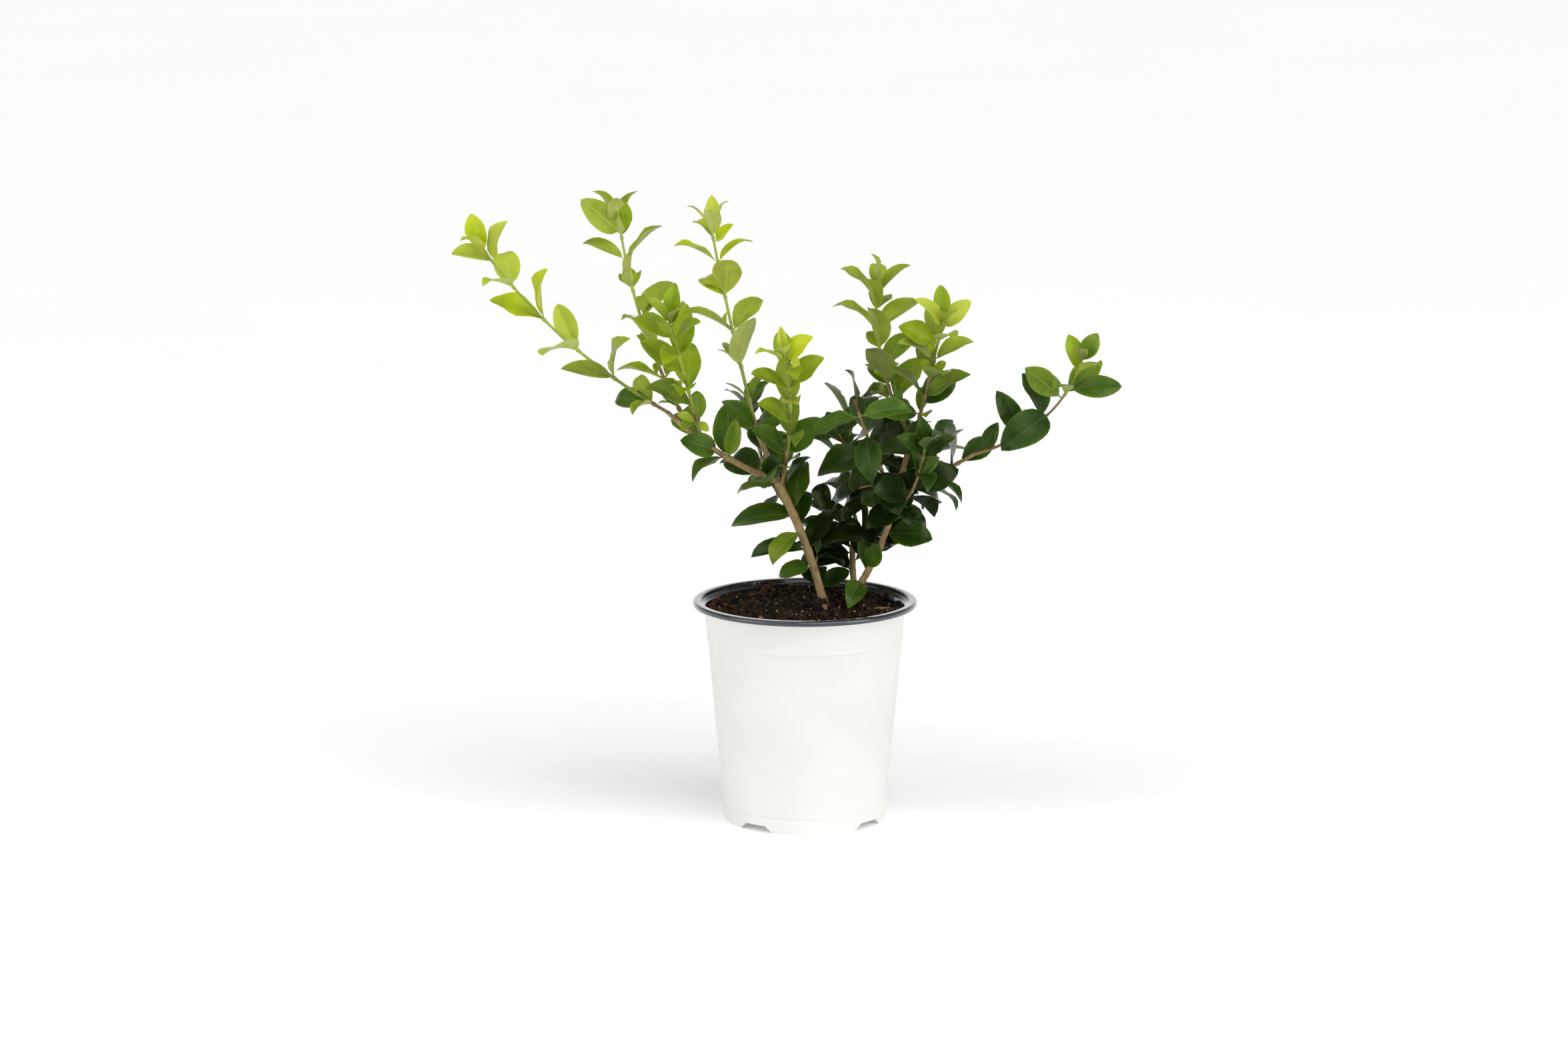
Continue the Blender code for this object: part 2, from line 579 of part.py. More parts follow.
class Plant:
    """Everything that has grown so far, kept to hold later pieces clear of it."""

    def __init__(self, soil_tree):
        self.limbs = {}
        self.trees = {"soil": [soil_tree]}

    def others(self, name):
        """Search trees of every piece but the named one."""
        return [tree for key, group in self.trees.items() if key != name for tree in group]

    def add(self, name, points, faces):
        self.trees.setdefault(name, []).append(BVHTree.FromPolygons(points, faces))

    def make_stem(self, name, start, tip, bow, radii):
        """A stem with its root flare, from a flat foot on the soil to its fork."""
        x, y = start
        foot = soil_height(max(0.0, math.hypot(x, y) - radii[0] - ROOT_FLARE), 0) + GAP
        limb = Limb((x, y, foot), tip, bow, radii, ROOT_FLARE)
        points, faces = tube(limb, LIMB_SIDES, STEM_RINGS)
        for point in points[:LIMB_SIDES]:
            point.z = metres(foot)
        self.keep_limb(name, limb, points, faces)

    def make_bough(self, name, start, tip, bow, radii):
        """A bough that starts clear of its parent and ends where its shoots begin."""
        limb = Limb(start, tip, bow, radii)
        seat_limb(limb, self.others(name))
        self.keep_limb(name, limb, *tube(limb, LIMB_SIDES, BOUGH_RINGS))

    def keep_limb(self, name, limb, points, faces):
        self.limbs[name] = limb
        self.add(name, points, faces)
        mesh = mesh_of(name, points, faces)
        mesh.shade_smooth()
        mesh.set_sharp_from_angle(angle=math.radians(LIMB_SHARP))
        add_object(name, mesh, "bark")

    def start_shoot(self, name, start, tip, bow, radius, **foliage):
        """The shoot's own twig, before any leaf, so that leaves keep clear of every twig."""
        limb = Limb(start, tip, bow, (radius, TWIG_TIP_RADIUS))
        seat_limb(limb, self.others(name))
        self.limbs[name] = limb
        self.add(name, *tube(limb, TWIG_SIDES, TWIG_RINGS, metres(GAP)))

    def finish_shoot(self, name, gap, leaves, roll, hue, bare=0, opened=GROWN_SPREAD, shed=(), **twig):
        """Crosswise pairs of leaves up the shoot, fused to its twig."""
        limb = self.limbs[name]
        pieces = [tube(limb, TWIG_SIDES, TWIG_RINGS)]
        length = limb.length()
        spare = length * (1 - limb.first) / metres(1)
        distances = pair_places(spare, gap, bare)
        for index, distance in enumerate(distances):
            size = leaves[0] + (leaves[1] - leaves[0]) * min(1.0, index / YOUNG_PAIRS)
            if distance == distances[-1]:
                size *= LOWEST_SHARE
            young = index < len(YOUNG_SPREADS) and not bare
            spread = YOUNG_SPREADS[index] if young else opened
            t = 1 - metres(distance + HIGHEST_PAIR) / length
            for side in range(2):
                if 2 * index + side + 1 in shed:
                    continue
                dice = random.Random(f"{name} {index} {side}")
                turn = roll + 90 * index + 180 * side + dice.uniform(-ROLL_VARIES, ROLL_VARIES)
                opening = spread + dice.uniform(-SPREAD_VARIES, SPREAD_VARIES)
                blade = place_leaf(limb, t, math.radians(turn), math.radians(opening),
                                   size * dice.uniform(*SIZE_VARIES), dice, self.others(name))
                if blade:
                    pieces.append((blade, LEAF_FACES))
                    self.add(name, blade, LEAF_FACES)
        fuse(name, pieces, hue)

    def make_sprigs(self, bough, leaves, hue):
        """Single leaves on a stem or bough, each a node of its own beside it."""
        limb = self.limbs[bough]
        for index, (t, turned, opened, size) in enumerate(leaves):
            name = f"{bough}_leaf_{index + 1}"
            blade = place_leaf(limb, t, math.radians(turned), math.radians(opened), size,
                               random.Random(name), self.others(name), parents=self.trees[bough])
            if blade:
                self.add(name, blade, LEAF_FACES)
                fuse(name, [(blade, LEAF_FACES)], hue)


make_pot()
plant = Plant(make_soil())
for stem_name, stem in STEMS.items():
    plant.make_stem(stem_name, **stem)
for bough_name, bough in BOUGHS.items():
    plant.make_bough(bough_name, **bough)
for shoot_name, shoot in SHOOTS.items():
    plant.start_shoot(shoot_name, **shoot)
for shoot_name, shoot in SHOOTS.items():
    plant.finish_shoot(shoot_name, **shoot)
for bough_name, sprigs in SPRIGS.items():
    plant.make_sprigs(bough_name, **sprigs)
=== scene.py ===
import math
import random

import bmesh
import bpy
import numpy as np
from mathutils import Matrix, Quaternion, Vector, noise
from mathutils.bvhtree import BVHTree


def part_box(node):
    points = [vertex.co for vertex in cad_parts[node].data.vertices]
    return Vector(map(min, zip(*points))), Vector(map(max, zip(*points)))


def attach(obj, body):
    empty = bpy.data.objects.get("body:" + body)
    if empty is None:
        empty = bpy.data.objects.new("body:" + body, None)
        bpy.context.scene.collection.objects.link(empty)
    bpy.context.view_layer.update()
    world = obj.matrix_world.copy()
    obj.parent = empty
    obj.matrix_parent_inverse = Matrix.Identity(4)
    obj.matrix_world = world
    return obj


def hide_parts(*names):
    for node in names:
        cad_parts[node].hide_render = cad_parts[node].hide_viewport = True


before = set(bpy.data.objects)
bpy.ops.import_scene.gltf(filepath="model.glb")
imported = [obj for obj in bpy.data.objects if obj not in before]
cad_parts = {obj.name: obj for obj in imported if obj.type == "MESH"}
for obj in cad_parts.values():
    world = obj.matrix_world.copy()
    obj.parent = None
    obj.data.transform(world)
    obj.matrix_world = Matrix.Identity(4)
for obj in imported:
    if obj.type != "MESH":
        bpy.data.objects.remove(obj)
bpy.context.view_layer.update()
mm = 0.001
print("frame loaded")


# Small helpers

def place(x, y, z):
    return Vector((x, y, z)) * mm


# A colour as it is picked on a screen, from 0 to 255, turned linear.
def paint(red, green, blue):
    shares = [value / 255 for value in (red, green, blue)]
    return [share / 12.92 if share < 0.04045 else ((share + 0.055) / 1.055) ** 2.4 for share in shares]


def addObject(name, data):
    thing = bpy.data.objects.new(name, data)
    bpy.context.scene.collection.objects.link(thing)
    return thing


# A finished mesh as a piece of the plant, at the origin.
def addPiece(name, mesh, finishes, nodes=()):
    piece = addObject(name, mesh)
    for finish in finishes:
        mesh.materials.append(finish)
    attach(piece, "root")
    if nodes:
        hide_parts(*nodes)
    return piece


def meshFrom(name, bm):
    mesh = bpy.data.meshes.new(name)
    bm.to_mesh(mesh)
    bm.free()
    return mesh


# One mesh from many small shapes: each has points, faces, finish numbers and corner UVs.
def joinShapes(name, shapes):
    points = np.concatenate([shape["points"] for shape in shapes])
    faces = []
    first = 0
    for shape in shapes:
        faces += [[first + corner for corner in face] for face in shape["faces"]]
        first += len(shape["points"])
    mesh = bpy.data.meshes.new(name)
    mesh.from_pydata(points.tolist(), [], faces)
    mesh.polygons.foreach_set("material_index", np.concatenate([shape["finish"] for shape in shapes]))
    if "uv" in shapes[0]:
        layer = mesh.uv_layers.new(name="blade")
        layer.data.foreach_set("uv", np.concatenate([shape["uv"] for shape in shapes]).ravel())
    mesh.update()
    return mesh


# The points, faces, finish numbers and corner UVs of a bmesh, kept to be repeated.
def shapeFrom(bm, uvLayer=None):
    bm.verts.index_update()
    shape = dict(points=np.array([vert.co[:] for vert in bm.verts]),
                 faces=[[vert.index for vert in face.verts] for face in bm.faces],
                 finish=np.array([face.material_index for face in bm.faces], dtype=np.int32))
    if uvLayer:
        shape["uv"] = np.array([loop[uvLayer].uv[:] for face in bm.faces for loop in face.loops])
    bm.free()
    return shape


# Finishes

def newFinish(name, colour, roughness, sockets=None):
    finish = bpy.data.materials.new(name)
    finish.use_nodes = True
    tree = finish.node_tree
    shader = tree.nodes["Principled BSDF"]
    shader.inputs["Base Color"].default_value = (*colour, 1)
    shader.inputs["Roughness"].default_value = roughness
    for socket, value in (sockets or {}).items():
        shader.inputs[socket].default_value = value
    return finish, tree, shader


def addNode(tree, kind, inputs=None, **settings):
    node = tree.nodes.new(kind)
    for name, value in settings.items():
        setattr(node, name, value)
    for name, value in (inputs or {}).items():
        if isinstance(value, bpy.types.NodeSocket):
            tree.links.new(value, node.inputs[name])
        else:
            node.inputs[name].default_value = value
    return node


def math2(tree, operation, first, second=0.0):
    return addNode(tree, "ShaderNodeMath", {0: first, 1: second}, operation=operation).outputs[0]


# Soft noise on the object's own coordinates.
def spotted(tree, scale, detail=3.0, stretch=(1, 1, 1), roughness=0.55):
    where = addNode(tree, "ShaderNodeTexCoord").outputs["Object"]
    mapped = addNode(tree, "ShaderNodeMapping", {"Vector": where, "Scale": stretch}).outputs[0]
    values = {"Vector": mapped, "Scale": scale, "Detail": detail, "Roughness": roughness}
    return addNode(tree, "ShaderNodeTexNoise", values).outputs["Fac"]


# Stretches a value between low and high to start and end.
def spread(tree, value, low, high, start=0.0, end=1.0):
    return addNode(tree, "ShaderNodeMapRange", {"Value": value, "From Min": low, "From Max": high,
                                                "To Min": start, "To Max": end}).outputs[0]


def blendColours(tree, share, first, second):
    node = addNode(tree, "ShaderNodeMix", data_type="RGBA")
    for socket, value in ((node.inputs[0], share), (node.inputs[6], first), (node.inputs[7], second)):
        if isinstance(value, bpy.types.NodeSocket):
            tree.links.new(value, socket)
        else:
            socket.default_value = value if isinstance(value, float) else (*value, 1)
    return node.outputs[2]

def colourBy(tree, shader, share, first, second):
    tree.links.new(blendColours(tree, share, first, second), shader.inputs["Base Color"])


def addBump(tree, shader, height, strength, distance):
    bump = addNode(tree, "ShaderNodeBump", {"Height": height, "Strength": strength, "Distance": distance})
    tree.links.new(bump.outputs["Normal"], shader.inputs["Normal"])


leafSkin = dict(
    clouds=95.0, cloudBand=(0.36, 0.66), ribWidth=(0.05, 0.012), ribEdge=(0.45, 1.1), stalk=(0.06, 0.9),
    # rim and its share: the pale leaf edge, partly its paler margin and partly a painted rim highlight.
    rim=(0.478, 0.497), rimAndHighlightShare=0.8, veins=6.0, veinSlant=4.2, veinWidth=0.09, veinShare=0.09,
    pebbles=1100.0, pebbleHeight=0.4, groove=-0.8, bump=(0.3, 0.0003), glossTint=(0.85, 1.0, 0.55, 1),
    depth=0.15, depthColour=(0.7, 1.0, 0.1), depthReach=0.0012,
)


# A leaf's skin: cloudy colour, a pale midrib and stalk, a pale rim that is partly the leaf's paler margin
# and partly a painted rim highlight, and faint side veins along the blade.
def leafFinish(name, colour, shade, rib, roughness, ribShare, gloss):
    s = leafSkin
    finish, tree, shader = newFinish(name, colour, roughness, {
        "Specular IOR Level": gloss, "Specular Tint": s["glossTint"], "Subsurface Weight": s["depth"],
        "Subsurface Radius": s["depthColour"], "Subsurface Scale": s["depthReach"]})
    clouds = spread(tree, spotted(tree, s["clouds"], 2.0), *s["cloudBand"])
    skin = blendColours(tree, clouds, colour, shade)
    blade = addNode(tree, "ShaderNodeUVMap", uv_map="blade").outputs[0]
    parts = addNode(tree, "ShaderNodeSeparateXYZ", {0: blade})
    aside = math2(tree, "ABSOLUTE", math2(tree, "SUBTRACT", parts.outputs["X"], 0.5))
    along = parts.outputs["Y"]
    ribWidth = spread(tree, along, 0.0, 1.0, *s["ribWidth"])
    midrib = spread(tree, math2(tree, "DIVIDE", aside, ribWidth), *s["ribEdge"], ribShare, 0.0)
    stalk = spread(tree, along, 0.0, *s["stalk"], 0.0)
    # The pale rim along every leaf's edge: partly its paler margin, partly a painted rim highlight.
    rim = spread(tree, aside, *s["rim"], 0.0, ribShare * s["rimAndHighlightShare"])
    ladder = math2(tree, "SUBTRACT", math2(tree, "MULTIPLY", along, s["veins"]),
                   math2(tree, "MULTIPLY", aside, s["veinSlant"]))
    vein = spread(tree, math2(tree, "PINGPONG", ladder, 0.5), 0.0, s["veinWidth"], s["veinShare"], 0.0)
    pale = math2(tree, "MAXIMUM", math2(tree, "MAXIMUM", midrib, stalk), math2(tree, "MAXIMUM", rim, vein))
    colourBy(tree, shader, pale, skin, rib)
    pebbles = math2(tree, "MULTIPLY", spotted(tree, s["pebbles"], 2.0), s["pebbleHeight"])
    groove = math2(tree, "MULTIPLY", math2(tree, "ADD", midrib, vein), s["groove"])
    addBump(tree, shader, math2(tree, "ADD", pebbles, groove), *s["bump"])
    return finish


barkSkin = dict(
    gloss=0.25, cracks=1500.0, crackStretch=(1, 1, 0.16), crackBand=(0.38, 0.66), crackShare=0.55,
    patches=170.0, patchStretch=(1, 1, 0.5), patchBand=(0.36, 0.64), patchShare=0.45,
    pores=520.0, poreBand=(0.12, 0.2), poreShare=0.5, porePale=1.5, roughVaries=0.1, bump=(0.5, 0.0005),
)


# Thin bark: fine upright cracks over patches of two tones, with pale pores.
def barkFinish(name, light, dark, roughness, grain):
    s = barkSkin
    finish, tree, shader = newFinish(name, light, roughness, {"Specular IOR Level": s["gloss"]})
    cracks = spread(tree, spotted(tree, s["cracks"], 4.0, s["crackStretch"]), *s["crackBand"])
    patches = spread(tree, spotted(tree, s["patches"], 3.0, s["patchStretch"]), *s["patchBand"])
    tone = math2(tree, "ADD", math2(tree, "MULTIPLY", cracks, s["crackShare"]),
                 math2(tree, "MULTIPLY", patches, s["patchShare"]))
    where = addNode(tree, "ShaderNodeTexCoord").outputs["Object"]
    pores = addNode(tree, "ShaderNodeTexVoronoi", {"Vector": where, "Scale": s["pores"]}).outputs["Distance"]
    pore = spread(tree, pores, *s["poreBand"], s["poreShare"], 0.0)
    skin = blendColours(tree, tone, light, dark)
    colourBy(tree, shader, pore, skin, [min(1.0, part * s["porePale"]) for part in light])
    rough = spread(tree, patches, 0.0, 1.0, roughness - s["roughVaries"], roughness + s["roughVaries"])
    tree.links.new(rough, shader.inputs["Roughness"])
    strength, distance = s["bump"]
    addBump(tree, shader, math2(tree, "ADD", cracks, pore), strength * grain, distance)
    return finish


# Growth: the same limbs, shoots and leaf pairs as the solids have, in millimetres and degrees

stemSettings = {
    "left_stem": dict(start=(10, 14), tip=(-15, 10, 182), bow=(2, 0, 1), radii=(2.7, 2.1)),
    "right_stem": dict(start=(24, 19), tip=(50, 16, 175), bow=(3, 0, -1), radii=(2.8, 2.1)),
    "back_stem": dict(start=(28, 35), tip=(28, 50, 153), bow=(-2, 0, 0), radii=(2.4, 1.7)),
}
boughSettings = {
    "left_limb": dict(start=(-15, 10, 182), tip=(-73, -5, 222), bow=(-2, 0, -3), radii=(1.9, 1.3)),
    "centre_left_limb": dict(start=(-14, 10, 181), tip=(-25, 22, 205), bow=(0, 0, 0), radii=(1.7, 1.4)),
    "centre_right_limb": dict(start=(50, 16, 175), tip=(60, 22, 208), bow=(-1, 0, 0), radii=(1.8, 1.4)),
    "right_limb": dict(start=(49, 16, 172), tip=(90, 2, 198), bow=(0, 0, 0), radii=(1.7, 1.4)),
}
# tone: millimetres of height by which the leaves look younger, and palest where that stops.
# woody: the brown share of the twig. axils: how often a small shoot stands in a leaf's axil.
# shed: the leaves that the shoot has lost, counted from its tip.
shootSettings = {
    "far_left_shoot": dict(
        start=(-73, -5, 222), tip=(-168, -30, 312), bow=(-6, 0, -4), gap=25.0, leaves=(18, 29), roll=75,
        opened=42, tone=12, woody=0.08, palest=275, axils=0.0),
    "left_back_shoot": dict(
        start=(-62, -2, 214), tip=(-100, 60, 313), bow=(-5, 0, -2), gap=18.5, leaves=(24, 27), roll=0,
        opened=44, shed=(10,), tone=-8, woody=0.3, palest=236, axils=0.6),
    "left_front_shoot": dict(
        start=(-56, 0, 210), tip=(-71, -42, 276), bow=(0, 0, 0), radius=1.2, gap=12.0, leaves=(19, 25),
        roll=165, opened=44, shed=(10, 13), tone=0, woody=0.2, palest=250, axils=0.15),
    "centre_left_shoot": dict(
        start=(-25, 22, 205), tip=(-51, 70, 312), bow=(-1, 0, 0), gap=20.0, leaves=(18, 27), roll=15,
        opened=42, tone=0, woody=0.12, palest=270, axils=0.15),
    "inner_left_shoot": dict(
        start=(-13, 10, 179), tip=(-11, -34, 257), bow=(4, 0, 0), radius=1.4, gap=11.0, leaves=(15, 24),
        roll=105, opened=44, shed=(12,), tone=4, woody=0.28, palest=262, axils=0.2),
    "crown_right_shoot": dict(
        start=(60, 22, 208), tip=(73, -6, 271), bow=(0, 0, 0), gap=12.0, leaves=(18, 25), roll=105,
        opened=44, tone=-8, woody=0.5, palest=256, axils=0.35),
    "tall_right_shoot": dict(
        start=(58, 21, 202), tip=(39, 64, 278), bow=(-6, 0, -2), gap=11.0, leaves=(20, 28), roll=90,
        opened=44, shed=(11, 16), tone=-16, woody=0.45, palest=244, axils=0.35),
    "front_right_shoot": dict(
        start=(48, 16, 172), tip=(26, -30, 232), bow=(-1, 0, 0), radius=1.4, gap=14.5, leaves=(25, 31),
        roll=0, opened=90, bare=11, tone=-26, woody=1.0, palest=205, axils=0.25),
    "far_right_shoot": dict(
        start=(90, 2, 198), tip=(145, -30, 253), bow=(8, 0, -6), gap=21.0, leaves=(15, 28), roll=45,
        opened=65, shed=(7,), tone=-26, woody=0.75, palest=235, axils=0.2),
    "back_centre_shoot": dict(
        start=(28, 50, 153), tip=(28, 86, 210), bow=(-4, 5, -2), radius=1.4, gap=11.5, leaves=(21, 31),
        roll=45, shed=(1, 3), tone=-20, woody=0.6, palest=190, axils=0.3),
    "back_left_shoot": dict(
        start=(-9, 11, 168), tip=(-30, 88, 208), bow=(-2, 4, -6), gap=18.0, leaves=(20, 28), roll=0,
        opened=46, tone=-20, woody=0.6, palest=190, axils=0.4),
    "back_right_shoot": dict(
        start=(45, 17, 163), tip=(72, 86, 188), bow=(2, 2, -6), gap=17.5, leaves=(20, 28), roll=120,
        tone=-14, woody=0.6, palest=190, axils=0.4),
    "low_right_shoot": dict(
        start=(46, 17, 165), tip=(63, -28, 206), bow=(2, -2, -6), gap=15.5, leaves=(19, 24), roll=105,
        opened=68, tone=-24, woody=1.0, palest=200, axils=0.3),
}
# Single leaves: how far up the limb, how far turned, how far opened, the length, and any more youth.
sprigSettings = {
    "left_stem": dict(tone=22, leaves=[
        (0.12, 100, 75, 24), (0.28, 172, 88, 18, 30), (0.42, 168, 80, 30, 8), (0.40, 40, 60, 26),
        (0.58, 215, 105, 23, 26), (0.60, 80, 60, 28), (0.70, 165, 75, 33), (0.72, 40, 36, 28),
        (0.97, 172, 72, 22, 10)]),
    "left_limb": dict(tone=-4, leaves=[
        (0.10, 300, 75, 26), (0.14, 120, 60, 27), (0.40, 40, 60, 28), (0.44, 225, 52, 23),
        (0.68, 100, 60, 26)]),
    "centre_left_limb": dict(tone=-4, leaves=[(0.60, 70, 26, 25)]),
    "right_stem": dict(tone=-8, leaves=[
        (0.20, 262, 122, 22, 78), (0.26, 150, 30, 21, 84), (0.30, 105, 68, 28), (0.52, 40, 52, 28),
        (0.56, 200, 98, 29), (0.70, 95, 60, 29), (0.76, 60, 28, 21), (0.84, 172, 76, 27)]),
    "centre_right_limb": dict(tone=-22, leaves=[
        (0.30, 40, 64, 28), (0.34, 220, 64, 28), (0.72, 130, 64, 27), (0.76, 310, 64, 26)]),
    "right_limb": dict(tone=-14, leaves=[
        (0.30, 90, 70, 28), (0.33, 235, 26, 24), (0.70, 175, 62, 29), (0.80, 60, 26, 22)]),
    "back_stem": dict(tone=-12, leaves=[
        (0.34, 165, 60, 33), (0.46, 20, 66, 28), (0.62, 160, 58, 36), (0.66, 85, 60, 30),
        (0.88, 170, 60, 31)]),
}
growth = dict(
    gap=0.3, leafClearance=0.35, seatReach=14.0, seatStep=0.05, seatSides=6, seatAt=0.03, lengthSteps=12,
    rootFlare=1.0, flareShare=0.12, flareCrowding=1.5, limbSides=7, twigSides=3, stemRings=9,
    boughRings=7, twigRings=9, twigTip=0.8,
    bladeWidth=0.5, bladeKeel=0.9, bladePlaces=(0.3, 0.66), bladeTaper=0.86, keelTaper=0.8,
    arch=(12, 34), petioleHalf=0.7, petioleLength=2.5,
    highestPair=1.0, lowestPair=3.0, lowestShare=0.62, youngGaps=(0.3, 0.7), youngPairs=3,
    youngSpreads=(26, 38, 48), grownSpread=56, rollVaries=12, spreadVaries=7, sizeVaries=(0.88, 1.1),
    light=Vector((0, -0.85, 1)).normalized(), lift=0.22, facing=1.5, twist=34,
    tries=[(0, 0, 1.0), (14, 0, 1.0), (-14, 0, 1.0), (0, -12, 1.0), (0, 14, 1.0), (20, -10, 0.9),
           (-20, -10, 0.9), (28, 8, 0.85), (-28, 8, 0.85), (0, -22, 0.8), (12, -28, 0.7)],
    noLimit=400,  # millimetres of height, above any leaf
)
soilShape = dict(edge=112.9, mound=2.0, wallFoot=43.3, wallSlope=0.0912, wall=1.2)


# Height of the soil's top in millimetres, before its lumps.
def soilHeight(x, y):
    reach = soilShape["wallFoot"] + soilShape["wallSlope"] * soilShape["edge"] - soilShape["wall"]
    return soilShape["edge"] + soilShape["mound"] * (1 - min(1.0, math.hypot(x, y) / reach) ** 2)


def makeLimb(start, tip, bow, radii, flare=0.0):
    return dict(start=place(*start), tip=place(*tip), bow=place(*bow),
                radii=[radius * mm for radius in radii], flare=flare * mm, first=0.0)


def limbPoint(limb, t):
    return limb["start"].lerp(limb["tip"], t) + limb["bow"] * (4 * t * (1 - t))


def limbHeading(limb, t):
    return (limb["tip"] - limb["start"] + limb["bow"] * (4 - 8 * t)).normalized()


def limbRadius(limb, t):
    low = max(0.0, 1 - t / growth["flareShare"])
    return limb["radii"][0] + (limb["radii"][1] - limb["radii"][0]) * t + limb["flare"] * low * low


def limbLength(limb):
    steps = growth["lengthSteps"]
    return sum((limbPoint(limb, (i + 1) / steps) - limbPoint(limb, i / steps)).length for i in range(steps))


# The direction square to the limb that lies nearest to +X.
def limbAcross(limb, t):
    heading = limbHeading(limb, t)
    return (Vector((1, 0, 0)) - heading * heading.x).normalized()


# The limb's skin as the solids have it, to hold leaves clear of it.
def plainTube(limb, sides, rings, extra=0.0):
    points = []
    faces = [list(range(sides))]
    for index in range(rings):
        share = index / (rings - 1)
        if limb["flare"]:
            share = share ** growth["flareCrowding"]
        t = limb["first"] + (1 - limb["first"]) * share
        side = limbAcross(limb, t)
        back = limbHeading(limb, t).cross(side)
        radius = limbRadius(limb, t) + extra
        for corner in range(sides):
            angle = math.tau * corner / sides
            points.append(limbPoint(limb, t) + (side * math.cos(angle) + back * math.sin(angle)) * radius)
        if index:
            low = (index - 1) * sides
            faces += [[low + i, low + (i + 1) % sides, low + sides + (i + 1) % sides, low + sides + i]
                      for i in range(sides)]
    faces.append([len(points) - sides + i for i in range(sides)])
    return points, faces


plantTrees = {}
limbs = {}
leafTrees = []
leaves = []


def addTree(name, points, faces):
    plantTrees.setdefault(name, []).append(BVHTree.FromPolygons(points, faces))


def treesBut(name):
    return [tree for key, group in plantTrees.items() if key != name for tree in group]


# How far along a heading a flat end of this radius stands clear of what is there.
def seatDistance(trees, middle, heading, side, radius):
    back = heading.cross(side)
    turns = [math.tau * index / growth["seatSides"] for index in range(growth["seatSides"])]
    rim = [(side * math.cos(turn) + back * math.sin(turn)) * radius for turn in turns] + [Vector()]
    step = growth["seatStep"] * mm
    for index in range(int(growth["seatReach"] / growth["seatStep"]), 0, -1):
        spot = middle + heading * (index * step)
        for tree in trees:
            for offset in rim:
                if tree.find_nearest(spot + offset, growth["gap"] * mm)[0] is not None:
                    return (index + 1) * step
    return 0.0


def seatLimb(limb, trees):
    away = seatDistance(trees, limbPoint(limb, 0), limbHeading(limb, growth["seatAt"]),
                        limbAcross(limb, 0), limbRadius(limb, 0))
    limb["first"] = away / limbLength(limb)


bladeFaces = [[0, 1, 2]] + [
    [low + a, low + b, low + 3 + b, low + 3 + a] for low in (0, 3) for a, b in ((0, 1), (1, 2), (2, 0))
] + [[6, 7, 9], [7, 8, 9], [8, 6, 9]]


# The solids' own blade, which stands for the leaf when it is tested against what is there.
def bladeCorners(root, heading, up, length, arch, start=0.0, extra=0.0):
    across = heading.cross(up).normalized()
    keel = growth["bladeKeel"] * mm + extra
    foot = growth["petioleHalf"] * mm + extra
    half = length * growth["bladeWidth"] / 2 + extra
    wideAt, narrowAt = growth["bladePlaces"]
    steps = (start, growth["petioleLength"] * mm + wideAt * length - start, (narrowAt - wideAt) * length)
    sections = ((foot, foot), (half, keel),
                (half * growth["bladeTaper"], keel * growth["keelTaper"]))
    bend = Quaternion(across, -arch / len(sections))
    spot = root.copy()
    along = heading.copy()
    above = up.copy()
    points = []
    for step, (wide, deep) in zip(steps, sections):
        spot = spot + along * step
        points += [spot - across * wide + above * extra, spot + across * wide + above * extra,
                   spot - above * deep]
        along.rotate(bend)
        above.rotate(bend)
    points.append(spot + along * ((1 - narrowAt) * length + extra))
    return points


# Heading and upper side of a leaf: square to its limb, lifted and turned towards the light.
def leafPose(limb, t, roll, opened, dice):
    light = growth["light"]
    heading = limbHeading(limb, t)
    out = limbAcross(limb, t)
    out.rotate(Quaternion(heading, roll))
    along = heading * math.cos(opened) + out * math.sin(opened)
    along = (along + light * growth["lift"]).normalized()
    above = heading - along * heading.dot(along)
    above.rotate(Quaternion(along, math.radians(dice.uniform(-growth["twist"], growth["twist"]))))
    above = above.normalized() + growth["facing"] * (light - along * light.dot(along))
    above = (above - along * above.dot(along)).normalized()
    return along, above


# Keeps a leaf if its blade, with room around it, stays clear of what is near.
def tryLeaf(node, root, pose, length, arch, youth, near, start, extra=0.0, small=False):
    along, above = pose
    skin = BVHTree.FromPolygons(bladeCorners(root, along, above, length, arch, start, extra), bladeFaces)
    if any(skin.overlap(tree) for tree in near):
        return False
    leafTrees.append(skin)
    leaves.append(dict(node=node, root=root, along=along, above=above, length=length, arch=arch,
                       youth=youth, small=small))
    return True


# The first try that stays clear of the rest becomes a leaf.
def growLeaf(node, limb, t, roll, opened, length, dice, height=0.0, parents=(), palest=growth["noLimit"]):
    arch = math.radians(dice.uniform(*growth["arch"]))
    stalk = (growth["petioleHalf"] + growth["gap"] / 2) * mm
    start = 0.0
    for turn, close, shrink in growth["tries"]:
        pose = leafPose(limb, t, roll + math.radians(turn), opened + math.radians(close), dice)
        root = limbPoint(limb, t)
        if parents:
            start = seatDistance(parents, root, *pose, stalk)
        size = length * shrink * mm
        if tryLeaf(node, root, pose, size, arch, min(palest, root.z / mm + height), treesBut(node), start,
                   growth["leafClearance"] * mm):
            addTree(node, bladeCorners(root, *pose, size, arch, start), bladeFaces)
            leafTrees[-1] = plantTrees[node][-1]
            return True
    return False


# Distances of the leaf pairs from a shoot's tip. The youngest gaps are still short.
def pairPlaces(length, gap, bare):
    lowest = growth["lowestPair"]
    places = [bare]
    for share in () if bare else growth["youngGaps"]:
        places.append(places[-1] + gap * share)
    while places[-1] + gap < length - lowest:
        places.append(places[-1] + gap)
    return [distance for distance in places if distance < length - lowest]


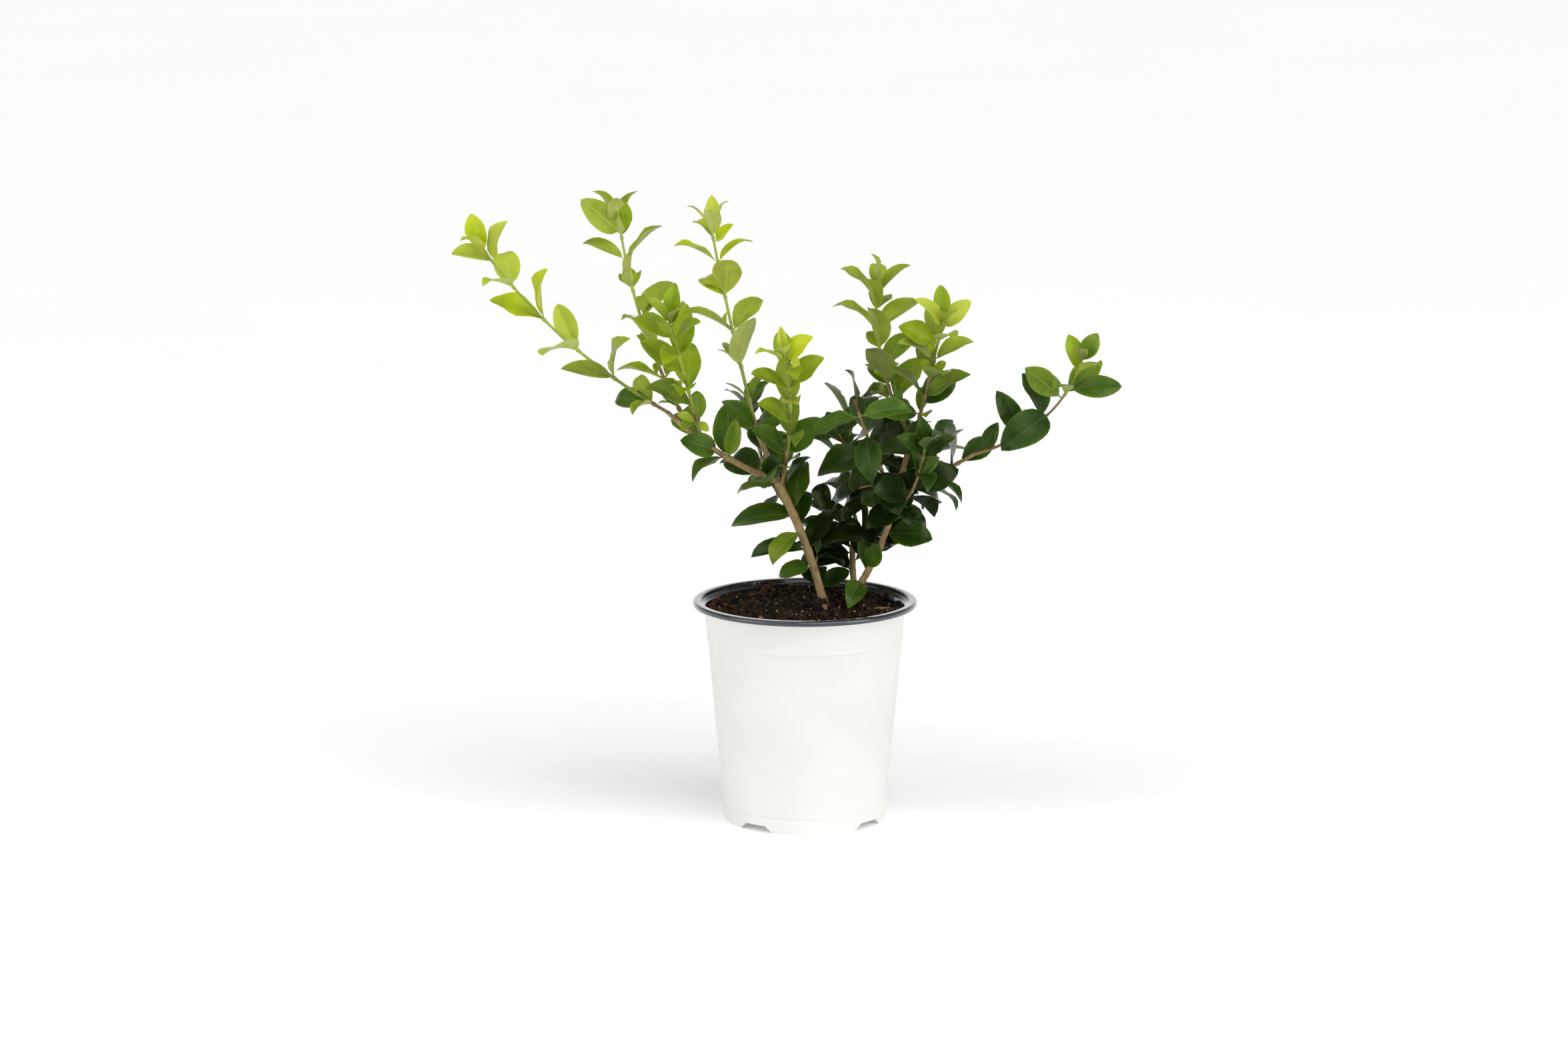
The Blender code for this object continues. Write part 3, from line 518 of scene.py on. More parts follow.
def growStem(name, start, tip, bow, radii):
    x, y = start
    foot = soilHeight(max(0.0, math.hypot(x, y) - radii[0] - growth["rootFlare"]), 0)
    foot += growth["gap"]
    limb = makeLimb((x, y, foot), tip, bow, radii, growth["rootFlare"])
    points, faces = plainTube(limb, growth["limbSides"], growth["stemRings"])
    for point in points[:growth["limbSides"]]:
        point.z = foot * mm
    limbs[name] = limb
    addTree(name, points, faces)


def growBough(name, start, tip, bow, radii):
    limb = makeLimb(start, tip, bow, radii)
    seatLimb(limb, treesBut(name))
    limbs[name] = limb
    addTree(name, *plainTube(limb, growth["limbSides"], growth["boughRings"]))


def growShootTwig(name, start, tip, bow, radius=1.3, **rest):
    limb = makeLimb(start, tip, bow, (radius, growth["twigTip"]))
    seatLimb(limb, treesBut(name))
    limbs[name] = limb
    addTree(name, *plainTube(limb, growth["twigSides"], growth["twigRings"], growth["gap"] * mm))


def growShootLeaves(name, gap, leaves, roll, tone, palest, bare=0, opened=growth["grownSpread"],
                    shed=(), **rest):
    limb = limbs[name]
    limb["pairs"] = []
    length = limbLength(limb)
    distances = pairPlaces(length * (1 - limb["first"]) / mm, gap, bare)
    for index, distance in enumerate(distances):
        size = leaves[0] + (leaves[1] - leaves[0]) * min(1.0, index / growth["youngPairs"])
        if distance == distances[-1]:
            size *= growth["lowestShare"]
        young = index < len(growth["youngSpreads"]) and not bare
        spreadBy = growth["youngSpreads"][index] if young else opened
        t = 1 - (distance + growth["highestPair"]) * mm / length
        limb["pairs"].append((t, roll + 90 * index))
        for side in range(2):
            if 2 * index + side + 1 in shed:
                continue
            dice = random.Random(f"{name} {index} {side}")
            turn = roll + 90 * index + 180 * side
            turn += dice.uniform(-growth["rollVaries"], growth["rollVaries"])
            opening = spreadBy + dice.uniform(-growth["spreadVaries"], growth["spreadVaries"])
            growLeaf(name, limb, t, math.radians(turn), math.radians(opening),
                     size * dice.uniform(*growth["sizeVaries"]), dice, tone, palest=palest)


def growSprigs(bough, leaves, tone):
    limb = limbs[bough]
    limb["pairs"] = []
    for index, (t, turned, opened, size, *younger) in enumerate(leaves):
        name = f"{bough}_leaf_{index + 1}"
        grown = growLeaf(name, limb, t, math.radians(turned), math.radians(opened), size,
                         random.Random(name), tone + sum(younger), plantTrees[bough])
        if grown:
            limb["pairs"].append((t, turned))


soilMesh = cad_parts["soil"].data
addTree("soil", [vert.co for vert in soilMesh.vertices], [list(face.vertices) for face in soilMesh.polygons])
for stemName, settings in stemSettings.items():
    growStem(stemName, **settings)
for boughName, settings in boughSettings.items():
    growBough(boughName, **settings)
for shootName, settings in shootSettings.items():
    growShootTwig(shootName, **settings)
limbTrees = {name: group[0] for name, group in plantTrees.items()}
for shootName, settings in shootSettings.items():
    growShootLeaves(shootName, **settings)
for boughName, settings in sprigSettings.items():
    growSprigs(boughName, **settings)
print("grown:", len(leaves), "leaves")


# Finer growth than the solids carry: small shoots in the leaf axils, and leafy side shoots

fineRule = dict(turnVaries=24, shrink=0.06, bow=0.06)
axilRule = dict(
    youngest=3, spread=34, spreadVaries=8, turnVaries=25, length=(4.0, 9.0), leaf=(8.0, 14.0), radius=0.55,
    tipShare=0.7, opened=(38, 58), pairs=(0.96, 0.55), secondPairFrom=6.5, younger=10, tries=3,
)
# Side shoots by their limb: place on it, turned, tilt, length, leaf length, tone.
sideShoots = [
    ("back_stem", [
        (0.40, 185, 62, 16, 27, -14), (0.80, 200, 58, 18, 28, -14), (0.74, 340, 55, 14, 26, -14),
        (0.95, 150, 66, 20, 29, -18)]),
    ("right_stem", [
        (0.44, 165, 48, 15, 25, -6), (0.62, 120, 52, 18, 28, -10), (0.78, 200, 60, 16, 27, -14),
        (0.90, 20, 40, 14, 24, -14), (0.93, 110, 58, 18, 28, -16)]),
    ("back_centre_shoot", [(0.55, 250, 60, 18, 28, -20)]),
    ("front_right_shoot", [(0.12, 190, 66, 16, 29, -24)]),
    ("back_left_shoot", [(0.45, 300, 58, 16, 26, -18)]),
    ("left_stem", [(0.88, 75, 60, 14, 25, 6), (0.26, 70, 66, 10, 22, 40)]),
    ("centre_right_limb", [(0.5, 100, 50, 15, 26, -18)]),
    ("right_limb", [(0.22, 70, 55, 14, 26, -12)]),
]
sideRule = dict(radius=(0.8, 0.6), gap=8.5, opened=(44, 66), varies=(0.8, 1.1), tries=5, firstPair=0.5,
                lastPair=2, youngShare=0.8)
# Single leaves that stand where the photo shows them, by their limb: place on it, where the leaf points to
# the right, back and up, its length, and the millimetres of height by which it looks younger.
placedLeaves = [
    ("far_right_shoot", [
        (0.57, (-0.68, -0.62, -0.38), 31, -40), (0.33, (-0.45, -0.4, 0.8), 26, -30),
        (0.06, (0.3, -0.4, 0.8), 16, -20), (0.71, (-0.72, -0.3, 0.66), 24, -10),
        (0.79, (0.95, -0.2, 0.12), 26, -44)]),
    ("far_left_shoot", [(0.08, (-0.86, 0.2, 0.12), 20, -50)]),
    ("left_limb", [
        (0.50, (-0.75, -0.45, 0.42), 21, 0), (0.42, (0.22, -0.5, 0.85), 21, 4),
        (0.06, (0.1, -0.75, 0.6), 18, -20)]),
    ("centre_left_shoot", [
        (0.03, (-0.6, -0.5, 0.62), 25, -10), (0.05, (0.55, -0.7, 0.42), 26, -12),
        (0.97, (-0.05, -0.25, 1.0), 20, 0), (0.92, (0.4, -0.55, 0.72), 18, 0)]),
    ("crown_right_shoot", [(0.80, (-0.75, -0.45, 0.5), 21, 0)]),
    ("left_back_shoot", [(0.965, (-0.66, -0.4, 0.72), 27, -6), (0.975, (0.4, -0.5, 0.76), 20, -6)]),
    ("right_stem", [(0.30, (0.1, -0.55, 0.85), 19, 80), (0.63, (0.92, -0.4, 0.16), 24, 24)]),
    ("low_right_shoot", [(0.72, (0.5, -0.72, 0.4), 21, 6), (0.22, (-0.55, -0.75, -0.2), 24, -10)]),
    ("back_stem", [
        (0.36, (-0.92, -0.35, 0.12), 24, 50), (0.80, (-0.9, -0.35, 0.22), 29, -14),
        (0.58, (-0.9, -0.42, 0.05), 28, -14)]),
    ("crown_right_shoot", [(0.15, (-0.85, -0.35, 0.36), 23, -24), (0.22, (0.6, 0.25, 0.72), 24, -44)]),
]
placedRule = dict(turns=(0, 8, -8, 16, -16, 26, -26), shrink=0.04, twist=16, start=5.5,
                  facing=Vector((0, -0.9, 0.5)).normalized())
fineTwigs = []


def fineTwig(name, t, turn, tilt, reach, radii):
    limb = limbs[name]
    heading = limbHeading(limb, t)
    out = limbAcross(limb, t)
    out.rotate(Quaternion(heading, turn))
    way = (heading * math.cos(tilt) + out * math.sin(tilt)).normalized()
    root = limbPoint(limb, t) / mm
    return makeLimb(root, root + way * reach, (0, 0, reach * fineRule["bow"]), radii)


def treesNear(name):
    return [tree for key, tree in limbTrees.items() if key != name] + leafTrees


# A leaf on a fine twig, on the first of a few tries that stays clear of the other leaves and limbs.
def growFineLeaf(name, twig, t, turn, rule, sizes, dice, youth, small):
    near = treesNear(name)
    for attempt in range(rule["tries"]):
        turned = math.radians(turn + dice.uniform(-fineRule["turnVaries"], fineRule["turnVaries"]))
        pose = leafPose(twig, t, turned, math.radians(dice.uniform(*rule["opened"])), dice)
        size = dice.uniform(*sizes) * (1 - fineRule["shrink"] * attempt) * mm
        arch = math.radians(dice.uniform(*growth["arch"]))
        if tryLeaf(name, limbPoint(twig, t), pose, size, arch, youth, near, mm, small=small):
            if twig not in fineTwigs:
                fineTwigs.append(twig)
            return


def growAxils(name, tone, palest, axils):
    for index, (t, roll) in enumerate(limbs[name]["pairs"]):
        for side in range(2):
            dice = random.Random(f"{name} axil {index} {side}")
            if index < axilRule["youngest"] or dice.random() > axils:
                continue
            reach = dice.uniform(*axilRule["length"])
            turned = roll + 180 * side + dice.uniform(-axilRule["turnVaries"], axilRule["turnVaries"])
            tilt = axilRule["spread"] + dice.uniform(-axilRule["spreadVaries"], axilRule["spreadVaries"])
            twig = fineTwig(name, t, math.radians(turned), math.radians(tilt), reach,
                            (axilRule["radius"], axilRule["radius"] * axilRule["tipShare"]))
            turn = dice.uniform(0, 360)
            youth = min(palest, twig["tip"].z / mm + tone + axilRule["younger"])
            for pair in axilRule["pairs"][:2 if reach > axilRule["secondPairFrom"] else 1]:
                for half in range(2):
                    growFineLeaf(name, twig, pair, turn + 180 * half, axilRule, axilRule["leaf"], dice,
                                 youth, True)
                turn += 90


def growSideShoot(name, t, turned, tilt, reach, leaf, tone):
    dice = random.Random(f"{name} side {t}")
    twig = fineTwig(name, t, math.radians(turned), math.radians(tilt), reach, sideRule["radius"])
    away = sideRule["firstPair"]
    turn = dice.uniform(0, 180)
    while away < reach - sideRule["lastPair"]:
        young = sideRule["youngShare"] if away == sideRule["firstPair"] else 1.0
        sizes = [leaf * share * young for share in sideRule["varies"]]
        pair = 1 - away / reach
        for half in range(2):
            growFineLeaf(name, twig, pair, turn + 180 * half, sideRule, sizes, dice,
                         limbPoint(twig, pair).z / mm + tone, False)
        away += sideRule["gap"]
        turn += 90


# A leaf that points a given way, or a little beside it where something is in its way.
def growPlacedLeaf(name, t, way, size, youth):
    dice = random.Random(f"{name} placed {t}")
    near = treesNear(name)
    facing = placedRule["facing"]
    root = limbPoint(limbs[name], t)
    arch = math.radians(dice.uniform(*growth["arch"]))
    twist = math.radians(dice.uniform(-placedRule["twist"], placedRule["twist"]))
    palest = shootSettings[name]["palest"] if name in shootSettings else growth["noLimit"]
    for attempt, turn in enumerate(placedRule["turns"]):
        along = Vector(way).normalized()
        along.rotate(Quaternion(facing, math.radians(turn)))
        above = (facing - along * along.dot(facing)).normalized()
        above.rotate(Quaternion(along, twist))
        length = size * (1 - placedRule["shrink"] * attempt) * mm
        if tryLeaf(name, root, (along, above), length, arch, min(palest, root.z / mm + youth), near,
                   placedRule["start"] * mm):
            return
    print("no room for the placed leaf on", name, t)


for limbName, rows in placedLeaves:
    for row in rows:
        growPlacedLeaf(limbName, *row)
print("placed:", len(leaves), "leaves")
for limbName, rows in sideShoots:
    for row in rows:
        growSideShoot(limbName, *row)
print("side shoots grown:", len(leaves), "leaves")
for shootName, settings in shootSettings.items():
    growAxils(shootName, settings["tone"], settings["palest"], settings["axils"])
print("fine twigs:", len(fineTwigs), "and", len(leaves), "leaves in all")


# Leaf blades

leafSettings = dict(
    rows=(0.0, 0.0, 0.06, 0.15, 0.27, 0.4, 0.54, 0.68, 0.81, 0.92, 1.0),  # from the stalk's foot to the tip
    columns=(-1.0, -0.5, 0.0, 0.5, 1.0),  # across, with the midrib in the middle
    width=0.275, stalkHalf=0.019, thickness=0.016, stalkThicker=1.4, kinds=10, weld=0.0003,
    fold=(10, 44), dish=0.22, crowding=(0.84, 1.08), roundness=(0.62, 0.8),
    spoons=3, spoonCrowding=1.35, spoonRoundness=0.55, smallStalk=0.4,
    ripple=(0.0, 0.045), waves=3.1, waveShift=1.9, waveGrows=4,
    archMore=1.15, tipCurl=0.12, curlVaries=1.4, curlFrom=0.68, curlOver=0.32, curlBack=0.4, sickle=0.08,
    varyWidth=(0.9, 1.26), varyTwist=16, varyTone=9, oldWidth=1.1, oldBelow=206, sharp=62,
    tones=(256, 226, 206, 186, 164),  # heights at which the leaves change their tone
    groups=((0, 1), (2, 3), (4,), (5,), (6,), (7,)),  # the colours of each tone
)


# Half the blade's width at v, from 0 at its foot to 0 at its tip, as a share of the greatest.
def bladeHalf(v, crowding, roundness):
    return math.sin(math.pi * v ** crowding) ** roundness if 0 < v < 1 else 0.0


# One leaf of length 1 along +Y, folded along its midrib, with an upper and a lower side.
def makeBlade(kind, spoon=False):
    s = leafSettings
    dice = random.Random(f"blade {kind} {spoon}")
    fold = math.radians(dice.uniform(*s["fold"]))
    ripple = dice.uniform(*s["ripple"])
    crowding = s["spoonCrowding"] if spoon else dice.uniform(*s["crowding"])
    roundness = s["spoonRoundness"] if spoon else dice.uniform(*s["roundness"])
    phase = dice.uniform(0, math.tau)
    rows, columns = s["rows"], s["columns"]
    bm = bmesh.new()
    bmesh.ops.create_grid(bm, x_segments=len(columns) - 1, y_segments=len(rows) - 1, size=1)
    uvLayer = bm.loops.layers.uv.new("blade")
    places = {}
    for vert in bm.verts:
        column = round((vert.co.x + 1) / 2 * (len(columns) - 1))
        row = round((vert.co.y + 1) / 2 * (len(rows) - 1))
        places[vert.index] = (columns[column], rows[row], row)
    for face in bm.faces:
        for loop in face.loops:
            u, v, row = places[loop.vert.index]
            loop[uvLayer].uv = ((u + 1) / 2, v if row else -0.1)
    depths = {}
    for vert in bm.verts:
        u, v, row = places[vert.index]
        onStalk = row < 2
        half = s["stalkHalf"] if onStalk else s["width"] * bladeHalf(v, crowding, roundness)
        wave = ripple * half * math.sin(v * s["waves"] * math.pi + phase + (u > 0) * s["waveShift"])
        wave = wave * u * u * s["waveGrows"]
        rise = 0.0 if onStalk else math.sin(fold) * half * (abs(u) - s["dish"] * abs(u) ** 3) + wave
        vert.co = (u * half * math.cos(fold), v if row else -1.0, rise)
        rimmed = abs(u) == 1 or row in (0, len(rows) - 1)
        depths[vert.index] = 0.0 if rimmed else s["thickness"] * (s["stalkThicker"] if onStalk else 1.0) / 2
    upperVerts = bm.verts[:]
    twin = bmesh.ops.duplicate(bm, geom=bm.verts[:] + bm.edges[:] + bm.faces[:])
    lowerFaces = [part for part in twin["geom"] if isinstance(part, bmesh.types.BMFace)]
    bmesh.ops.reverse_faces(bm, faces=lowerFaces)
    for face in lowerFaces:
        face.material_index = 1
    for vert in upperVerts:
        twin["vert_map"][vert].co.z -= depths[vert.index]
        vert.co.z += depths[vert.index]
    bmesh.ops.remove_doubles(bm, verts=bm.verts, dist=s["weld"])
    return shapeFrom(bm, uvLayer)


# A leaf's own blade, laid along its arch in its place.
def growBlade(leaf, kinds, spoons):
    s = leafSettings
    dice = random.Random(f"{leaf['node']} {leaf['root'].x:.6f} {leaf['along'].z:.5f}")
    shape = dict(dice.choice(spoons if leaf["small"] else kinds))
    length = leaf["length"]
    stalk = growth["petioleLength"] * mm * (s["smallStalk"] if leaf["small"] else 1.0)
    along, above = np.array(leaf["along"]), np.array(leaf["above"])
    across = np.cross(along, above)
    x, y, z = shape["points"].T
    v = np.clip(y, 0, 1)
    arch = leaf["arch"] * s["archMore"]
    bent = np.clip((v - s["curlFrom"]) / s["curlOver"], 0, 1) ** 2
    curl = s["tipCurl"] * length * dice.uniform(0, s["curlVaries"]) * bent
    forward = stalk * (1 + np.minimum(y, 0)) + length * np.sin(arch * v) / arch - curl * s["curlBack"]
    drop = -length * (1 - np.cos(arch * v)) / arch - curl
    twist = math.radians(dice.uniform(-1, 1) * s["varyTwist"]) * v
    broad = s["oldWidth"] if leaf["youth"] < s["oldBelow"] else 1.0
    side = x * length * np.where(y > 0, broad * dice.uniform(*s["varyWidth"]), 1.0)
    side += dice.uniform(-1, 1) * s["sickle"] * length * v * v
    lift = z * length
    side, lift = side * np.cos(twist) - lift * np.sin(twist), side * np.sin(twist) + lift * np.cos(twist)
    forward += lift * np.sin(arch * v)
    drop += lift * np.cos(arch * v)
    shape["points"] = (np.array(leaf["root"]) + np.outer(forward, along) + np.outer(drop, above)
                       + np.outer(side, across))
    return shape


leafColours = [  # name, upper side, its shade, lower side, roughness, gloss, rib, record slot
    ("goldLeaves", (180, 190, 66), (164, 178, 50), (192, 200, 112), 0.42, 0.36, 0.5, "young_leaves"),
    ("goldGlowLeaves", (182, 194, 30), (162, 178, 20), (184, 192, 78), 0.42, 0.36, 0.5, "young_leaves"),
    ("limeLeaves", (148, 162, 50), (128, 146, 38), (174, 182, 98), 0.4, 0.36, 0.5, "young_leaves"),
    ("limeGlowLeaves", (134, 154, 18), (112, 134, 12), (158, 170, 62), 0.4, 0.36, 0.5, "young_leaves"),
    ("freshLeaves", (106, 126, 28), (80, 106, 20), (138, 150, 78), 0.36, 0.34, 0.46, "green_leaves"),
    ("midLeaves", (70, 97, 22), (50, 76, 15), (112, 128, 70), 0.32, 0.32, 0.4, "green_leaves"),
    ("darkLeaves", (42, 64, 13), (27, 46, 8), (84, 100, 54), 0.29, 0.27, 0.28, "dark_leaves"),
    ("deepLeaves", (23, 39, 8), (13, 26, 5), (60, 76, 40), 0.27, 0.26, 0.2, "dark_leaves"),
]
underside = dict(shade=0.88, rib=1.1, roughness=0.5, ribShare=0.6, gloss=0.16)


def leafFinishes(name, upper, shade, lower, roughness, gloss, rib):
    ribTone = [min(255, part * underside["rib"]) for part in lower]
    top = leafFinish(name + "Upper", paint(*upper), paint(*shade), paint(*lower), roughness, rib, gloss)
    under = leafFinish(name + "Under", paint(*lower), paint(*[part * underside["shade"] for part in lower]),
                       paint(*ribTone), underside["roughness"], underside["ribShare"], underside["gloss"])
    return [top, under]


def makeLeaves():
    s = leafSettings
    leafyNodes = {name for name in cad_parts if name.endswith("_shoot") or "_leaf_" in name}
    kinds = [makeBlade(kind) for kind in range(s["kinds"])]
    spoons = [makeBlade(kind, True) for kind in range(s["spoons"])]
    groups = [[] for colour in leafColours]
    for leaf in leaves:
        dice = random.Random(f"tone {leaf['node']} {leaf['root'].z:.6f}")
        youth = leaf["youth"] + dice.uniform(-s["varyTone"], s["varyTone"])
        age = sum(youth < limit for limit in s["tones"])
        groups[dice.choice(s["groups"][age])].append(leaf)
    for (name, *colours, slot), grown in zip(leafColours, groups):
        mesh = joinShapes(name, [growBlade(leaf, kinds, spoons) for leaf in grown])
        mesh.shade_smooth()
        mesh.set_sharp_from_angle(angle=math.radians(s["sharp"]))
        addPiece(name, mesh, leafFinishes(name, *colours),
                 sorted({leaf["node"] for leaf in grown} & leafyNodes))
        print(name, len(grown), "leaves,", len(mesh.polygons), "faces")


makeLeaves()


# Twigs, stems and boughs

def ringMatrix(limb, t, radius):
    side = limbAcross(limb, t)
    heading = limbHeading(limb, t)
    turned = Matrix((side, heading.cross(side), heading)).transposed().to_4x4()
    return Matrix.Translation(limbPoint(limb, t)) @ turned @ Matrix.Diagonal((radius, radius, radius, 1))


# Draws a ring of edges along the limb, with a radius for each place, and closes both ends.
def sweepLimb(bm, limb, sides, rings, start, radiusAt, finishAt=None):
    before = ringMatrix(limb, start, radiusAt(start))
    ring = bmesh.ops.create_circle(bm, cap_ends=False, segments=sides, radius=1, matrix=before)["verts"]
    edges = list({edge for vert in ring for edge in vert.link_edges})
    bmesh.ops.edgeloop_fill(bm, edges=edges)
    for index in range(1, rings + 1):
        t = start + (1 - start) * index / rings
        matrix = ringMatrix(limb, t, radiusAt(t))
        grown = bmesh.ops.extrude_edge_only(bm, edges=edges)["geom"]
        edges = [part for part in grown if isinstance(part, bmesh.types.BMEdge)]
        for part in grown:
            if isinstance(part, bmesh.types.BMFace):
                part.material_index = finishAt(t) if finishAt else 0
        verts = [part for part in grown if isinstance(part, bmesh.types.BMVert)]
        bmesh.ops.transform(bm, matrix=matrix @ before.inverted(), verts=verts)
        before = matrix
    bmesh.ops.edgeloop_fill(bm, edges=edges)


# How much thicker the limb is at t, for the joints that its leaves stand on.
def nodeSwelling(limb, t, settings):
    length = limbLength(limb)
    swelling = 0.0
    for joint, roll in limb.get("pairs", []):
        away = abs(t - joint) * length / (settings["jointHalf"] * mm)
        swelling = max(swelling, settings["joint"] * mm * max(0.0, 1 - away * away))
    return swelling


barkSettings = dict(
    sides=20, ringEvery=1.1, relief=0.07, ridges=1100.0, ridgeStretch=0.14, ridgeShare=0.6, lumps=210,
    lumpShare=0.7, flareShare=0.7, joint=0.22, jointHalf=1.4,
    radii=dict(left_stem=(2.15, 2.3), right_stem=(1.95, 1.5), back_stem=(1.8, 1.4), left_limb=(1.75, 1.15),
               right_limb=(1.5, 0.95)),
)


def makeBarkedLimbs():
    s = barkSettings
    bm = bmesh.new()
    barked = [name for name in limbs if name not in shootSettings]
    for name in barked:
        limb = limbs[name]
        rings = int(limbLength(limb) / mm / s["ringEvery"])
        low, high = s["radii"].get(name, [radius / mm for radius in limb["radii"]])

        def radiusAt(t):
            flare = limb["flare"] * max(0.0, 1 - t / growth["flareShare"]) ** 2
            return (low + (high - low) * t) * mm + flare * s["flareShare"] + nodeSwelling(limb, t, s)
        sweepLimb(bm, limb, s["sides"], rings, 0.0, radiusAt)
    bmesh.ops.recalc_face_normals(bm, faces=bm.faces)
    bm.normal_update()
    for vert in bm.verts:  # fine upright ridges and softer lumps
        flat = Vector((vert.co.x, vert.co.y, vert.co.z * s["ridgeStretch"]))
        ridge = noise.noise(flat * s["ridges"])
        lump = noise.noise(vert.co * s["lumps"])
        vert.co += vert.normal * (ridge * s["ridgeShare"] + lump * s["lumpShare"]) * s["relief"] * mm
    mesh = meshFrom("barkedLimbs", bm)
    mesh.shade_smooth()
    tan = barkFinish("stemBark", paint(174, 150, 104), paint(118, 96, 60), 0.7, 0.5)
    addPiece("barkedLimbs", mesh, [tan], barked)


twigSettings = dict(
    sides=10, ringEvery=1.0, joint=0.4, jointHalf=1.3, greenShare=0.3, share=0.82,
    shares=dict(far_right_shoot=0.66, far_left_shoot=0.72, low_right_shoot=0.74),
    fineSides=6, fineRings=4, fineBrownBelow=205, stubFrom=0.9,
    finishes=[  # name, light, dark, roughness, grain
        ("youngBark", (150, 132, 88), (106, 90, 54), 0.6, 0.4),
        ("greenTwig", (144, 153, 68), (112, 125, 48), 0.5, 0.25),
        ("limeTwig", (164, 180, 80), (142, 162, 62), 0.5, 0.2),
        ("prunedBark", (112, 84, 58), (58, 42, 30), 0.8, 0.6)],
)
budSettings = dict(length=2.6, radius=0.65, sunk=0.35, finish=2,
                   clusterTurns=7, clusterTurn=0.38, clusterLean=(0.3, 1.1), clusterLength=1.5,
                   clusterRadius=0.5, clusterFrom=(0.5, 1.0), clusterReach=2.6)
stubSettings = dict(width=1.35, foot=0.8, sides=10, sunk=1.5, length=4, lean=0.5, prongSides=6,
                    prongTip=0.15, finish=3,
                    prongs=((20, 2.2, 0.55), (150, 1.2, 0.6), (265, 1.7, 0.5)))  # turned, length, radius


# Where a shape made upright stands when it points another way.
def pointing(spot, way):
    return Matrix.Translation(spot) @ way.to_track_quat("Z", "Y").to_matrix().to_4x4()


def setFinish(verts, finish):
    for face in {face for vert in verts for face in vert.link_faces}:
        face.material_index = finish


# A pointed bud on the twig's tip.
def addBud(bm, limb, way, length, radius, away=0.0):
    spot = limb["tip"] + way * (length * budSettings["sunk"] + away) * mm
    scale = Matrix.Diagonal((radius * mm, radius * mm, length / 2 * mm, 1))
    bud = bmesh.ops.create_icosphere(bm, subdivisions=2, radius=1, matrix=pointing(spot, way) @ scale)
    setFinish(bud["verts"], budSettings["finish"])


# The young flower head: a few buds around the tip.
def addFlowerBuds(bm, limb):
    s = budSettings
    dice = random.Random("flower buds")
    heading = limbHeading(limb, 1.0)
    for index in range(s["clusterTurns"]):
        out = limbAcross(limb, 1.0)
        out.rotate(Quaternion(heading, math.tau * s["clusterTurn"] * index))
        way = (heading + out * dice.uniform(*s["clusterLean"])).normalized()
        addBud(bm, limb, way, s["clusterLength"], s["clusterRadius"],
               dice.uniform(*s["clusterFrom"]) * s["clusterReach"])


# The cut end of a pruned twig, widened and torn into a few prongs.
def addStub(bm, limb):
    s = stubSettings
    heading = limbHeading(limb, 1.0)
    wide = s["width"] * mm
    foot = pointing(limb["tip"] - heading * s["sunk"] * mm, heading)
    grown = bmesh.ops.create_cone(bm, cap_ends=True, segments=s["sides"], radius1=s["foot"] * mm,
                                  radius2=wide, depth=s["length"] * mm, matrix=foot)["verts"]
    for around, length, radius in s["prongs"]:
        out = limbAcross(limb, 1.0)
        out.rotate(Quaternion(heading, math.radians(around)))
        way = (heading + out * s["lean"]).normalized()
        middle = limb["tip"] + out * (wide - radius * mm) + way * (length / 2) * mm
        grown += bmesh.ops.create_cone(bm, cap_ends=True, segments=s["prongSides"], radius1=radius * mm,
                                       radius2=s["prongTip"] * mm, depth=length * mm,
                                       matrix=pointing(middle, way))["verts"]
    setFinish(grown, s["finish"])


def makeTwigs():
    s = twigSettings
    bm = bmesh.new()
    for name, settings in shootSettings.items():
        limb = limbs[name]
        woody = settings["woody"]
        pruned = "bare" in settings
        share = s["shares"].get(name, s["share"])

        def radiusAt(t):
            return limbRadius(limb, t) * share + nodeSwelling(limb, t, s)

        def finishAt(t):
            if pruned and t > s["stubFrom"]:
                return stubSettings["finish"]
            return 0 if t < woody else (1 if t < woody + s["greenShare"] else 2)
        sweepLimb(bm, limb, s["sides"], int(limbLength(limb) / mm / s["ringEvery"]), 0.0, radiusAt, finishAt)
        if pruned:
            addStub(bm, limb)
        else:
            addBud(bm, limb, limbHeading(limb, 1.0), budSettings["length"], budSettings["radius"])
    addFlowerBuds(bm, limbs["left_front_shoot"])
    addFlowerBuds(bm, limbs["crown_right_shoot"])
    for twig in fineTwigs:
        finish = 0 if twig["tip"].z < s["fineBrownBelow"] * mm else 1
        sweepLimb(bm, twig, s["fineSides"], s["fineRings"], 0.0, lambda t: limbRadius(twig, t),
                  lambda t: finish)
    bmesh.ops.recalc_face_normals(bm, faces=bm.faces)
    mesh = meshFrom("shootTwigs", bm)
    mesh.shade_smooth()
    finishes = [barkFinish(name, paint(*light), paint(*dark), roughness, grain)
                for name, light, dark, roughness, grain in s["finishes"]]
    addPiece("shootTwigs", mesh, finishes, list(shootSettings))


makeBarkedLimbs()
makeTwigs()
print("limbs and twigs made")


# Soil

soilSettings = dict(
    turns=96, rings=30, lump=3.2, lumpScale=70.0, fine=1.7, fineScale=260.0, sunk=0.4, reach=51.6,
    heap=3.2, heapWay=(-0.45, 0.9), heapFrom=-6.0, heapTo=34.0, air=0.1, footRound=1, brim=2, fibres=520,
)
soilColours = dict(
    darkPeat=((36, 27, 22), (8, 6, 5)), peatClod=((38, 28, 22), (7, 6, 5)),
    peatCrumb=((76, 60, 47), (5, 4, 4)), coirCrumb=((132, 88, 56), (46, 31, 22)),
    woodChip=((172, 142, 100), (112, 84, 58)), perlite=((232, 228, 220), (190, 184, 172)),
    coirStrand=((116, 88, 60), (56, 40, 28)),
)


